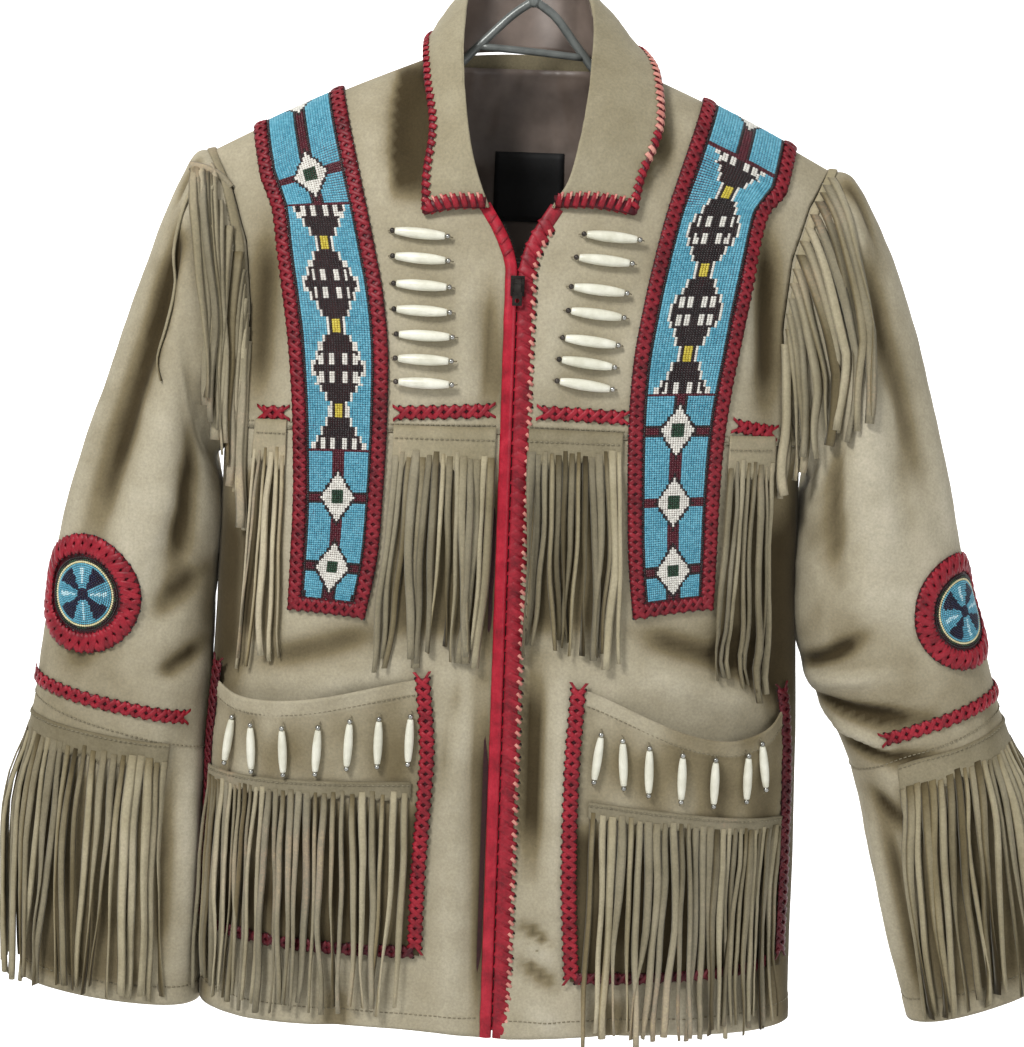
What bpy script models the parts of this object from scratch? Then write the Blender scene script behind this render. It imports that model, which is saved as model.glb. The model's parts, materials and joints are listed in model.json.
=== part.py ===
# Western suede jacket hanging on a tubular hanger.
# Sizes are in millimetres in the tables and become metres when a mesh is made.
# +Z is up, the front looks to -Y, the viewer's right is +X.
# The origin is the inner top of the hanger's hook.
import bpy
import bmesh
import math
from mathutils import Vector, Matrix
from mathutils.bvhtree import BVHTree

for ob in list(bpy.data.objects):
    bpy.data.objects.remove(ob, do_unlink=True)

# ---------------------------------------------------------------- sizes
LEATHER = 1.6            # suede wall
GAP = 0.3                # between sewn pieces
HEM_Z = -879.0
UNDERARM_Z = -440.0
TIP_X, TIP_Z = 236.0, -211.0      # shoulder tip
NECK_X, NECK_Z = 78.0, -138.0     # where the shoulder seam meets the neck
NECK_RISE = 10.0                  # back neckline above the neck point
BACK_NAPE = 95.0                  # how far the nape's surface runs above it
ROUND_FRONT, ROUND_BACK = 250.0, 210.0   # drop over which the depth fills out
POWER = 2.4                       # roundness of the body's section
YOKE_Z_IN, YOKE_Z_OUT = -414.0, -421.0

# body sections: height, half width, front depth, back depth
BODY = (
    (-60.0, 256.0, 82.0, 60.0),
    (-211.0, 247.0, 83.0, 62.0),
    (-330.0, 234.0, 88.0, 66.0),
    (-440.0, 224.5, 90.0, 68.0),
    (-560.0, 228.0, 91.0, 69.0),
    (-650.0, 232.5, 92.0, 70.0),
    (-750.0, 235.5, 94.0, 71.0),
    (-900.0, 237.0, 96.0, 73.0),
)
# armhole edge: height, x on the front, x on the back
ARMHOLE = (
    (-211.0, 236.0, 236.0),
    (-240.0, 219.0, 227.0),
    (-279.0, 206.0, 219.0),
    (-330.0, 202.0, 214.0),
    (-380.0, 206.0, 215.0),
    (-420.0, 217.0, 221.0),
    (-440.0, 224.5, 224.5),
)
# inner edge of a front: height, x (zip edge, neck slit, neckline)
FRONT_EDGE = (
    (-900.0, 3.0),
    (-292.0, 3.0),
    (-280.0, 6.0),
    (-271.0, 9.5),
    (-260.0, 15.5),
    (-248.0, 23.0),
    (-220.0, 40.0),
    (-195.0, 55.0),
    (-170.0, 68.0),
    (-150.0, 76.0),
    (-138.0, 78.0),
)


def table(rows, key, col):
    # straight interpolation of one column over the first one
    rows = sorted(rows)
    if key <= rows[0][0]:
        return rows[0][col]
    for lo, hi in zip(rows, rows[1:]):
        if key <= hi[0]:
            q = (key - lo[0]) / (hi[0] - lo[0])
            return lo[col] + (hi[col] - lo[col]) * q
    return rows[-1][col]


def lerp(a, b, q):
    return a + (b - a) * q


def shoulder_z(ax, face):
    # height of the shoulder ridge at a distance from the middle
    if ax < NECK_X:
        if face < 0:
            return NECK_Z
        return NECK_Z + BACK_NAPE * (1.0 - (ax / NECK_X) ** 2) ** 1.5
    q = (ax - NECK_X) / (TIP_X - NECK_X)
    return NECK_Z + (TIP_Z - NECK_Z) * q + 3.0 * math.sin(math.pi * min(q, 1.0))


def torso(x, z, face, out=0.0):
    # point of the body's outer face; face is -1 in front, +1 behind
    ax = abs(x)
    sx = 1.0 if x >= 0 else -1.0
    w = table(BODY, z, 1)
    a = table(BODY, z, 2 if face < 0 else 3)
    rnd = ROUND_FRONT if face < 0 else ROUND_BACK
    r = min(ax / w, 1.0)
    k = max(1.0 - r ** POWER, 0.0)
    s = k ** (1.0 / POWER)
    h = min(max(shoulder_z(ax, face) - z, 0.0), rnd)
    g2 = 1.0 - (1.0 - h / rnd) ** 2
    y = face * a * s * math.sqrt(g2)
    slope = (shoulder_z(ax + 0.5, face) - shoulder_z(max(ax - 0.5, 0.0), face)) / (1.0 if ax > 0.5 else 0.5 + ax)
    fall = 2.0 * (1.0 - h / rnd) / rnd
    kk = max(k, 1e-4)
    nx = g2 * 2.0 * kk ** (2.0 / POWER - 1.0) * r ** (POWER - 1.0) / w - s * s * fall * slope
    n = Vector((nx * sx, 2.0 * y / (a * a), s * s * fall))
    if n.length < 1e-9:
        n = Vector((sx, 0.0, 0.0))
    n.normalize()
    return Vector((x, y, z)) + n * out, n


def t_of(x, z):
    r = min(abs(x) / table(BODY, z, 1), 1.0)
    return 2.0 / math.pi * math.asin(r ** (POWER / 2.0))


def x_of(t, z):
    return table(BODY, z, 1) * math.sin(math.pi * min(t, 1.0) / 2.0) ** (2.0 / POWER)


# ---------------------------------------------------------------- materials
def material(name, rgb, rough, metal=0.0):
    m = bpy.data.materials.new(name)
    m.use_nodes = True
    b = m.node_tree.nodes["Principled BSDF"]
    b.inputs["Base Color"].default_value = (rgb[0], rgb[1], rgb[2], 1.0)
    b.inputs["Roughness"].default_value = rough
    b.inputs["Metallic"].default_value = metal
    m.diffuse_color = (rgb[0], rgb[1], rgb[2], 1.0)
    return m


SUEDE = ("suede", (0.39, 0.36, 0.25), 0.9, 0.0)
FRINGE = ("fringe_suede", (0.42, 0.38, 0.27), 0.9, 0.0)
RED = ("red_leather", (0.42, 0.02, 0.03), 0.55, 0.0)
BEADS = ("seed_beads", (0.10, 0.42, 0.58), 0.35, 0.0)
BONE = ("bone", (0.86, 0.84, 0.72), 0.35, 0.0)
LINING = ("lining", (0.17, 0.13, 0.12), 0.6, 0.0)
LABEL = ("label_cloth", (0.01, 0.01, 0.01), 0.7, 0.0)
ZIPPER = ("zip_tape", (0.10, 0.02, 0.02), 0.7, 0.0)
METAL = ("dark_metal", (0.06, 0.06, 0.06), 0.35, 1.0)
GREY = ("hanger_grey", (0.16, 0.17, 0.16), 0.4, 0.0)


# ---------------------------------------------------------------- meshes
def publish(name, bm, look):
    bmesh.ops.recalc_face_normals(bm, faces=bm.faces[:])
    bmesh.ops.scale(bm, vec=(0.001, 0.001, 0.001), verts=bm.verts[:])
    me = bpy.data.meshes.new(name)
    bm.to_mesh(me)
    bm.free()
    ob = bpy.data.objects.new(name, me)
    bpy.context.scene.collection.objects.link(ob)
    me.materials.append(material(name + "_" + look[0], look[1], look[2], look[3]))
    return ob


def wall(name, pts, nrm, faces, out, thick, look):
    # closed wall: pts moved out by `out`, and a second skin `thick` beneath
    bm = bmesh.new()
    top = [bm.verts.new(p + n * out) for p, n in zip(pts, nrm)]
    low = [bm.verts.new(p + n * (out - thick)) for p, n in zip(pts, nrm)]
    edges = {}
    for f in faces:
        bm.faces.new([top[i] for i in f])
        bm.faces.new([low[i] for i in reversed(f)])
        for a, b in zip(f, f[1:] + f[:1]):
            edges[(a, b)] = True
    for (a, b) in edges:
        if (b, a) not in edges:
            bm.faces.new([top[b], top[a], low[a], low[b]])
    return publish(name, bm, look)


def grid_faces(rows, cols, ring=False):
    f = []
    for i in range(rows - 1):
        for j in range(cols if ring else cols - 1):
            k = (j + 1) % cols
            f.append([i * cols + j, i * cols + k, (i + 1) * cols + k, (i + 1) * cols + j])
    return f


def grid_normals(pts, rows, cols, ring=False):
    out = []
    for i in range(rows):
        for j in range(cols):
            if ring:
                a, b = pts[i * cols + (j - 1) % cols], pts[i * cols + (j + 1) % cols]
            else:
                a, b = pts[i * cols + max(j - 1, 0)], pts[i * cols + min(j + 1, cols - 1)]
            c, d = pts[max(i - 1, 0) * cols + j], pts[min(i + 1, rows - 1) * cols + j]
            out.append((b - a).cross(d - c).normalized())
    return out


# ---------------------------------------------------------------- fronts and yokes
YOKE_ROWS = (0.0, 0.068, 0.2, 0.34, 0.46, 0.57, 0.67, 0.76, 0.84, 0.91, 0.955, 0.983, 0.996, 1.0)
YOKE_COLS = 10
TOP_H = 0.002            # the ridge's own half gap, as a drop


def yoke_grid(side):
    pts, nrm = [], []
    z0i, z0o = YOKE_Z_IN + GAP / 2, YOKE_Z_OUT + GAP / 2
    for v in YOKE_ROWS:
        zr = lerp(z0o, TIP_Z - TOP_H, v)
        xr = table(ARMHOLE, zr, 1)
        zl = lerp(z0i, NECK_Z - TOP_H, v)
        xl = table(FRONT_EDGE, zl, 1)
        hr, hl = shoulder_z(xr, -1) - zr, shoulder_z(xl, -1) - zl
        tl, tr = t_of(xl, zl), t_of(xr, zr)
        w = v * v * (3 - 2 * v)
        for j in range(YOKE_COLS):
            u = j / (YOKE_COLS - 1)
            z = lerp(zl, zr, u)
            for _ in range(4):
                x = x_of(lerp(tl, tr, u), z)
                z = lerp(lerp(zl, zr, u), shoulder_z(x, -1) - lerp(hl, hr, u), w)
            if j == 0:
                x, z = xl, zl
            elif j == YOKE_COLS - 1:
                x, z = xr, zr
            p, n = torso(side * x, z, -1)
            if v == 1.0:
                p, n = torso(side * x, shoulder_z(x, -1) - TOP_H, -1)
            pts.append(p)
            nrm.append(n)
    return pts, nrm


FRONT_ROWS = (HEM_Z, -836.0, -788.0, -740.0, -692.0, -645.0, -600.0, -560.0, -520.0, -480.0, -440.0)
FRONT_COLS = 10


def hem_z(x):
    # the hem hangs in one shallow wave
    return HEM_Z + 2.5 * math.sin(abs(x) / 60.0)


def front_grid(side):
    pts, nrm = [], []
    rows = [(z, z) for z in FRONT_ROWS]
    zi, zo = YOKE_Z_IN - GAP / 2, YOKE_Z_OUT - GAP / 2
    rows += [(-427.0, -431.3), (zi, zo)]
    for r, (zl, zr) in enumerate(rows):
        xl = table(FRONT_EDGE, zl, 1)
        tl = t_of(xl, zl)
        tr = 0.9995 if zr <= UNDERARM_Z else t_of(table(ARMHOLE, zr, 1), zr)
        for j in range(FRONT_COLS):
            u = j / (FRONT_COLS - 1)
            z = lerp(zl, zr, u)
            x = x_of(lerp(tl, tr, u), z)
            if r == 0:
                z = hem_z(x)
            p, n = torso(side * x, z, -1)
            pts.append(p)
            nrm.append(n)
    return pts, nrm, len(rows)


for side, word in ((-1, "right"), (1, "left")):
    pts, nrm = yoke_grid(side)
    wall("yoke_" + word, pts, nrm, grid_faces(len(YOKE_ROWS), YOKE_COLS), 0.0, LEATHER, SUEDE)
    pts, nrm, n = front_grid(side)
    wall("front_" + word, pts, nrm, grid_faces(n, FRONT_COLS), 0.0, LEATHER, SUEDE)


# ---------------------------------------------------------------- back
def back_top(ax):
    if ax < NECK_X:
        return NECK_Z + NECK_RISE * (1.0 - (ax / NECK_X) ** 2) - TOP_H
    return shoulder_z(ax, 1) - TOP_H


BACK_HALF_COLS = 9
BACK_LOW = (HEM_Z, -820.0, -750.0, -680.0, -610.0, -550.0, -495.0, -440.0)
BACK_UP = (0.038, 0.146, 0.28, 0.42, 0.55, 0.67, 0.78, 0.87, 0.935, 0.972, 0.992, 1.0)
pts, nrm = [], []
back_rows = [(z, 0.0) for z in BACK_LOW] + [(None, v) for v in BACK_UP]
for zrow, v in back_rows:
    zr = zrow if zrow is not None else lerp(UNDERARM_Z, TIP_Z - TOP_H, v)
    xr = table(ARMHOLE, zr, 2)
    tr = 0.9995 if zr <= UNDERARM_Z else t_of(xr, zr)
    zc = lerp(UNDERARM_Z, back_top(0.0), v) if zrow is None else zrow
    w = v * v * (3 - 2 * v)
    for j in range(-BACK_HALF_COLS, BACK_HALF_COLS + 1):
        u = abs(j) / BACK_HALF_COLS
        z = lerp(zc, zr, u)
        for _ in range(4):
            x = x_of(tr * u, z)
            z = lerp(lerp(zc, zr, u), back_top(x) - (back_top(xr) - zr if v > 0 else 0.0), w)
        if v >= 1.0:
            z = back_top(x)
        if zrow == HEM_Z:
            z = hem_z(x)
        if abs(j) == BACK_HALF_COLS:
            z = zr if zrow != HEM_Z else z
            x = xr if zr > UNDERARM_Z else x
        p, n = torso(math.copysign(x, j) if j else 0.0, z, 1)
        pts.append(p)
        nrm.append(n)
wall("back", pts, nrm, grid_faces(len(back_rows), 2 * BACK_HALF_COLS + 1), 0.0, LEATHER, SUEDE)

# ---------------------------------------------------------------- sleeves
# rings from the armhole to the cuff: outer x, outer z, inner x, inner z, half depth, middle y
SLEEVE_RINGS = {
    -1: (
        (252.0, -217.0, 234.0, -451.0, 60.0, 0.0),
        (273.0, -262.0, 235.5, -466.0, 63.0, -1.0),
        (292.0, -322.0, 234.0, -492.0, 63.0, -3.0),
        (312.0, -382.0, 232.5, -518.0, 61.0, -4.0),
        (335.0, -452.0, 233.0, -548.0, 59.0, -5.0),
        (352.0, -520.0, 234.5, -580.0, 57.0, -6.0),
        (362.0, -580.0, 236.5, -616.0, 55.0, -7.0),
        (369.0, -632.0, 240.0, -656.0, 52.0, -8.0),
        (375.0, -690.0, 243.0, -708.0, 49.0, -9.0),
        (378.0, -750.0, 244.0, -766.0, 45.0, -10.0),
        (379.0, -812.0, 244.5, -828.0, 41.0, -11.0),
        (379.0, -866.0, 245.0, -884.0, 37.0, -12.0),
    ),
    1: (
        (256.0, -216.0, 234.0, -451.0, 60.0, 0.0),
        (281.0, -262.0, 235.5, -466.0, 63.0, -1.0),
        (302.0, -318.0, 234.0, -490.0, 63.0, -3.0),
        (321.0, -376.0, 232.5, -516.0, 61.0, -4.0),
        (338.0, -436.0, 232.5, -543.0, 59.0, -5.0),
        (354.0, -500.0, 234.5, -575.0, 57.0, -6.0),
        (370.0, -556.0, 240.0, -610.0, 56.0, -7.0),
        (385.0, -606.0, 267.0, -652.0, 53.0, -8.0),
        (400.0, -652.0, 284.0, -697.0, 50.0, -9.0),
        (415.0, -708.0, 297.0, -750.0, 46.0, -10.0),
        (431.0, -772.0, 313.0, -812.0, 42.0, -11.0),
        (446.0, -838.0, 334.0, -880.0, 38.0, -12.0),
    ),
}
SLEEVE_COLS = 16
SLEEVE_OFF = 1.5        # seam gap beyond the armhole edge


def ring_point(side, ring, phi):
    # phi 0 is the shoulder side, 90 degrees the front, 180 the underarm
    c, s = math.cos(phi), math.sin(phi)
    if ring == 0:
        face = -1 if s >= 0 else 1
        q = (1.0 - c) / 2.0
        z = lerp(TIP_Z, UNDERARM_Z, q)
        x = table(ARMHOLE, z, 1 if face < 0 else 2)
        low = max((q - 0.8) / 0.2, 0.0)
        x, z = x + SLEEVE_OFF * (1.0 - low), z + SLEEVE_OFF * low
        if q < 1e-6:
            z = shoulder_z(x, face)
        w = table(BODY, z, 1)
        p, n = torso(side * min(x, w), z, face)
        if q > 1.0 - 1e-6:
            p = Vector((side * w, 0.0, z))
        return p, n
    ox, oz, ix, iz, hd, yc = SLEEVE_RINGS[side][ring - 1]
    e = 2.0 / 2.2
    cc = math.copysign(abs(c) ** e, c)
    ss = math.copysign(abs(s) ** e, s)
    cx, cz = (ox + ix) / 2, (oz + iz) / 2
    hx, hz = (ox - ix) / 2, (oz - iz) / 2
    return Vector((side * (cx + hx * cc), yc - hd * ss, cz + hz * cc)), None


def sleeve(side, phi, v):
    # smooth point along the sleeve, v counts the rings
    n = len(SLEEVE_RINGS[side])
    i = int(min(max(math.floor(v), 0), n - 1))
    q = v - i
    p = [ring_point(side, min(max(i + d, 0), n), phi)[0] for d in (-1, 0, 1, 2)]
    m1, m2 = (p[2] - p[0]) * 0.5, (p[3] - p[1]) * 0.5
    if i == 0:
        m1 = (p[2] - p[1]) * 1.0
    q2, q3 = q * q, q * q * q
    return p[1] * (2 * q3 - 3 * q2 + 1) + m1 * (q3 - 2 * q2 + q) + p[2] * (-2 * q3 + 3 * q2) + m2 * (q3 - q2)


def sleeve_at(side, phi, v, out=0.0):
    p = sleeve(side, phi, v)
    a = sleeve(side, phi + 0.03, v) - sleeve(side, phi - 0.03, v)
    b = sleeve(side, phi, v + 0.03) - sleeve(side, phi, v - 0.03)
    n = a.cross(b).normalized() * side
    return p + n * out, n


SLEEVE_V = (0.0, 0.45, 1.0, 2.0, 3.0, 4.0, 5.0, 6.0, 7.0, 8.0, 9.0, 10.0, 11.0, 12.0)
for side, word in ((-1, "right"), (1, "left")):
    pts, nrm = [], []
    for v in SLEEVE_V:
        for j in range(SLEEVE_COLS):
            phi = 2 * math.pi * j / SLEEVE_COLS
            p, n = sleeve_at(side, phi, v)
            if v == 0.0:
                p, n = ring_point(side, 0, phi)
            pts.append(p)
            nrm.append(n)
    wall("sleeve_" + word, pts, nrm, grid_faces(len(SLEEVE_V), SLEEVE_COLS, True), 0.0, LEATHER, SUEDE)

# ---------------------------------------------------------------- collar
# stations from a front end to the nape: fold x y z, outer edge x y z
COLLAR = {
    -1: (
        (24.0, -74.0, -248.0, 71.0, -74.0, -254.0),
        (32.0, -79.0, -226.0, 71.5, -70.0, -226.0),
        (40.0, -76.0, -196.0, 68.0, -60.0, -190.0),
        (45.0, -52.0, -152.0, 74.0, -36.0, -152.0),
        (47.0, -16.0, -108.0, 76.0, -6.0, -127.0),
        (43.0, 24.0, -78.0, 71.0, 35.0, -119.0),
        (25.0, 50.0, -62.0, 45.0, 66.0, -117.0),
        (0.0, 58.0, -58.0, 0.0, 77.0, -114.0),
    ),
    1: (
        (24.0, -74.0, -246.0, 85.0, -72.0, -249.0),
        (36.0, -80.0, -226.0, 90.0, -66.0, -222.0),
        (44.0, -74.0, -190.0, 103.0, -52.0, -184.0),
        (49.0, -48.0, -150.0, 101.0, -24.0, -146.0),
        (51.0, -14.0, -108.0, 94.0, 2.0, -131.0),
        (45.0, 24.0, -78.0, 84.0, 34.0, -124.0),
        (26.0, 50.0, -62.0, 48.0, 67.0, -118.0),
        (0.0, 58.0, -58.0, 0.0, 77.0, -114.0),
    ),
}
COLLAR_BULGE = 4.0


def neckline(side, q):
    # q 0 at the neck slit, 1 at the nape
    if q < 0.57:
        z = lerp(-248.0, NECK_Z - 0.5, q / 0.57)
        return torso(side * table(FRONT_EDGE, z, 1), z, -1)[0]
    x = NECK_X * (1.0 - ((q - 0.57) / 0.43) ** 1.15)
    return torso(side * x, back_top(x), 1)[0]


def collar_section(side, i, q):
    n = neckline(side, q)
    fx, fy, fz, ex, ey, ez = COLLAR[side][i]
    f, e = Vector((side * fx, fy, fz)), Vector((side * ex, ey, ez))
    up = (f - n).normalized()
    n = n + up * 1.9
    fall = e - f
    lift = Vector((fall.z * side * -0.2, -0.5 if e.y < 20 else 0.6, 0.9)).normalized()
    pts = [n, lerp(n, f, 0.5) + up * 0.0, lerp(n, f, 0.88), f + fall * 0.0,
           lerp(f, e, 0.12) + lift * COLLAR_BULGE * 0.45, lerp(f, e, 0.45) + lift * COLLAR_BULGE,
           lerp(f, e, 0.75) + lift * COLLAR_BULGE * 0.6, e]
    return pts


STATION_Q = (0.0, 0.13, 0.29, 0.44, 0.57, 0.72, 0.87, 1.0)
stations = []
for i in range(8):
    stations.append(collar_section(-1, i, STATION_Q[i]))
for i in range(6, -1, -1):
    stations.append(collar_section(1, i, STATION_Q[i]))


def spline_rows(rows, per):
    # smooth rows between stations
    out = []
    for i in range(len(rows) - 1):
        a, b, c, d = rows[max(i - 1, 0)], rows[i], rows[i + 1], rows[min(i + 2, len(rows) - 1)]
        for k in range(per):
            q = k / per
            q2, q3 = q * q, q * q * q
            out.append([b[j] * (2 * q3 - 3 * q2 + 1) + (c[j] - a[j]) * 0.5 * (q3 - 2 * q2 + q)
                        + c[j] * (-2 * q3 + 3 * q2) + (d[j] - b[j]) * 0.5 * (q3 - q2) for j in range(len(b))])
    out.append(rows[-1])
    return out


rows = spline_rows(stations, 1)
pts = [p for r in rows for p in r]
nrm = grid_normals(pts, len(rows), 8)
wall("collar", pts, nrm, grid_faces(len(rows), 8), 0.8, 1.6, SUEDE)

# ---------------------------------------------------------------- lining and label
LINING_OFF = -LEATHER - 2.4
pts, nrm = [], []
LINE_ROWS = (-335.0, -290.0, -245.0, -205.0, -170.0, -150.0, -139.0)
for z in LINE_ROWS:
    for j in range(-4, 5):
        x = j / 4 * lerp(100.0, 62.0, (z + 335.0) / 196.0)
        p, n = torso(x, z, 1, -3.0 * max((z + 185.0) / 46.0, 0.0))
        pts.append(p)
        nrm.append(n)
wall("lining_back", pts, nrm, grid_faces(len(LINE_ROWS), 9), LINING_OFF, 0.8, LINING)

pts, nrm = [], []
for z in (-258.0, -230.0, -203.0):
    for j in range(5):
        x = lerp(-22.0, 34.0, j / 4)
        p, n = torso(x, z, 1)
        pts.append(p)
        nrm.append(n)
wall("label", pts, nrm, grid_faces(3, 5), LINING_OFF - 0.8 - 0.9, 0.6, LABEL)


# ---------------------------------------------------------------- laid pieces
def laid(name, side, rows, cols, out, thick, look, lift=None):
    # rows: (face, z or drop below the ridge, x inner, x outer), made from the body's points
    pts, nrm = [], []
    for r, (face, zi, zo, xi, xo) in enumerate(rows):
        for j in range(cols):
            u = j / (cols - 1)
            z = lerp(zi, zo, u)
            ti, to = t_of(xi, zi), t_of(xo, zo)
            x = x_of(lerp(ti, to, u), z)
            p, n = torso(side * x, z, face)
            if lift:
                p = p + n * lift(u, r / (len(rows) - 1))
            pts.append(p)
            nrm.append(n)
    return wall(name, pts, nrm, grid_faces(len(rows), cols), out + thick, thick, look)


# bead strips: height inner, height outer, inner x, outer x (front), then over the ridge
STRIP = {
    -1: ((-557.0, -554.0, 106.0, 165.0), (-512.0, -512.0, 98.0, 163.5), (-467.0, -470.0, 95.0, 163.0),
         (-410.0, -412.0, 93.0, 165.0), (-356.0, -359.0, 93.5, 169.0), (-318.0, -321.0, 98.0, 174.5),
         (-283.0, -285.0, 106.0, 181.0), (-246.0, -252.0, 115.0, 187.0)),
    1: ((-550.0, -542.0, 95.0, 156.0), (-508.0, -502.0, 90.0, 156.5), (-465.0, -462.0, 87.5, 156.5),
        (-423.0, -421.0, 86.0, 157.5), (-386.0, -384.0, 86.0, 161.0), (-350.0, -347.0, 88.0, 167.0),
        (-313.0, -310.0, 94.0, 173.0), (-275.0, -273.0, 102.0, 180.0), (-240.0, -244.0, 111.0, 187.5)),
}
STRIP_TOP = {-1: (137.0, 205.0), 1: (136.0, 209.0)}
STRIP_OVER = (40.0, 20.0, 8.0, 2.6, 0.5, 0.01)     # drops below the ridge, front then back
STRIP_BACK_END = 46.0
STRIP_OUT = 1.1


def strip_rows(side):
    rows = [(-1,) + r for r in STRIP[side]]
    xi, xo = STRIP_TOP[side]
    li, lo = STRIP[side][-1][2], STRIP[side][-1][3]
    hi = shoulder_z(li, -1) - STRIP[side][-1][0]
    for h in STRIP_OVER:
        q = 1.0 - h / hi
        a, b = lerp(li, xi, q), lerp(lo, xo, q)
        rows.append((-1, shoulder_z(a, -1) - h, shoulder_z(b, -1) - h, a, b))
    for h in reversed(STRIP_OVER[1:]):
        rows.append((1, shoulder_z(xi, 1) - h, shoulder_z(xo, 1) - h, xi, xo))
    rows.append((1, shoulder_z(xi, 1) - STRIP_BACK_END, shoulder_z(xo, 1) - STRIP_BACK_END, xi, xo))
    return rows


for side, word in ((-1, "right"), (1, "left")):
    laid("bead_strip_" + word, side, strip_rows(side), 5, STRIP_OUT, 1.8, BEADS)

# pockets: top edge sags and stands off the front, sides and bottom are sewn
POCKET = {-1: (56.0, 226.0, -600.0, -616.0, -816.0), 1: (57.0, 220.0, -604.0, -620.0, -832.0)}
POCKET_SAG = {-1: 16.0, 1: 30.0}
POCKET_GAPE = {-1: 12.0, 1: 17.0}
POCKET_OUT = 0.9


def pocket_lift(side, u, v):
    belly = math.sin(math.pi * min(max((u - 0.06) / 0.88, 0.0), 1.0))
    return POCKET_GAPE[side] * belly * max((v - 0.25) / 0.75, 0.0) ** 1.5


def pocket_u(side, x, z):
    # place across the pocket of what lies x from the middle at height z
    xi, xo = POCKET[side][:2]
    return (t_of(x, z) - t_of(xi, zi_of(side))) / (t_of(xo, zi_of(side, True)) - t_of(xi, zi_of(side)))


def zi_of(side, outer=False):
    return POCKET[side][3 if outer else 2]


def pocket_point(side, u, z, out):
    # point on the pocket's face
    xi, xo, zi, zo, zb = POCKET[side]
    top = lerp(zi, zo, u)
    v = (z - zb) / (top - zb)
    x = x_of(lerp(t_of(xi, zi), t_of(xo, zo), u), z)
    p, n = torso(side * x, z, -1)
    return p + n * (out + pocket_lift(side, u, min(max(v, 0.0), 1.0))), n


for side, word in ((-1, "right"), (1, "left")):
    xi, xo, zi, zo, zb = POCKET[side]
    pts, nrm = [], []
    vs = (0.0, 0.2, 0.4, 0.6, 0.75, 0.88, 1.0)
    for v in vs:
        for j in range(9):
            u = j / 8
            top = lerp(zi, zo, u) - POCKET_SAG[side] * math.sin(math.pi * u) ** 1.2
            z = lerp(zb, top, v)
            p, n = pocket_point(side, u, z, 0.0)
            pts.append(p)
            nrm.append(n)
    wall("pocket_" + word, pts, nrm, grid_faces(len(vs), 9), POCKET_OUT + LEATHER, LEATHER, SUEDE)

# pocket fringes: a plain solid of their reach, on the pocket's own points
PFRINGE = {-1: (0.0, 1.0, -681.0, -688.0, -862.0), 1: (0.0, 1.0, -692.0, -711.0, -876.0)}
PFRINGE_OFF = POCKET_OUT + LEATHER + 1.1
for side, word in ((-1, "right"), (1, "left")):
    u0, u1, zi, zo, ze = PFRINGE[side]
    pts, nrm = [], []
    for v in (0.0, 0.2, 0.4, 0.6, 0.8, 1.0):
        for j in range(9):
            u = lerp(u0, u1, j / 8)
            z = lerp(ze, lerp(zi, zo, j / 8), v)
            p, n = pocket_point(side, u, z, 0.0)
            pts.append(p)
            nrm.append(n)
    wall("pocket_fringe_" + word, pts, nrm, grid_faces(6, 9), PFRINGE_OFF + 3.0, 3.0, FRINGE)

# chest fringes hang from the yoke seam: height top in, top out, bottom, x in, x out, x in and out at the bottom
CHEST = {
    ("inner", -1): (-409.0, -410.0, -586.0, 12.0, 88.0, 16.0, 91.0),
    ("outer", -1): (-411.0, -412.0, -600.0, 169.5, 194.0, 171.0, 208.0),
    ("inner", 1): (-409.0, -410.0, -580.0, 12.0, 82.0, 16.0, 83.0),
    ("outer", 1): (-411.0, -412.0, -608.0, 162.0, 198.0, 162.0, 205.0),
}
for (kind, side), (zi, zo, ze, xi, xo, bi, bo) in CHEST.items():
    rows = []
    for v in (0.0, 0.18, 0.36, 0.54, 0.72, 0.88, 1.0):
        rows.append((-1, lerp(ze, zi, v), lerp(ze, zo, v), lerp(bi, xi, v), lerp(bo, xo, v)))
    word = "right" if side < 0 else "left"
    laid("chest_fringe_%s_%s" % (kind, word), side, rows, 6, 0.9, 2.6, FRINGE)

# ---------------------------------------------------------------- shoulder fringes
# hang from the armhole seam over the sleeve head, on whatever lies behind them
SFRINGE = {
    -1: ((250.0, -392.0, 8), (243.0, -418.0, 20), (234.0, -428.0, 32), (224.0, -452.0, 42), (213.0, -478.0, 52), (203.0, -512.0, 62)),
    1: ((268.0, -392.0, 8), (258.0, -402.0, 20), (245.0, -410.0, 32), (231.0, -420.0, 42), (215.0, -440.0, 52), (204.0, -470.0, 62)),
}


def tree_of(names):
    verts, polys = [], []
    for nm in names:
        me = bpy.data.objects[nm].data
        base = len(verts)
        verts += [v.co * 1000.0 for v in me.vertices]
        polys += [[base + i for i in p.vertices] for p in me.polygons]
    return BVHTree.FromPolygons(verts, polys)


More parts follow.
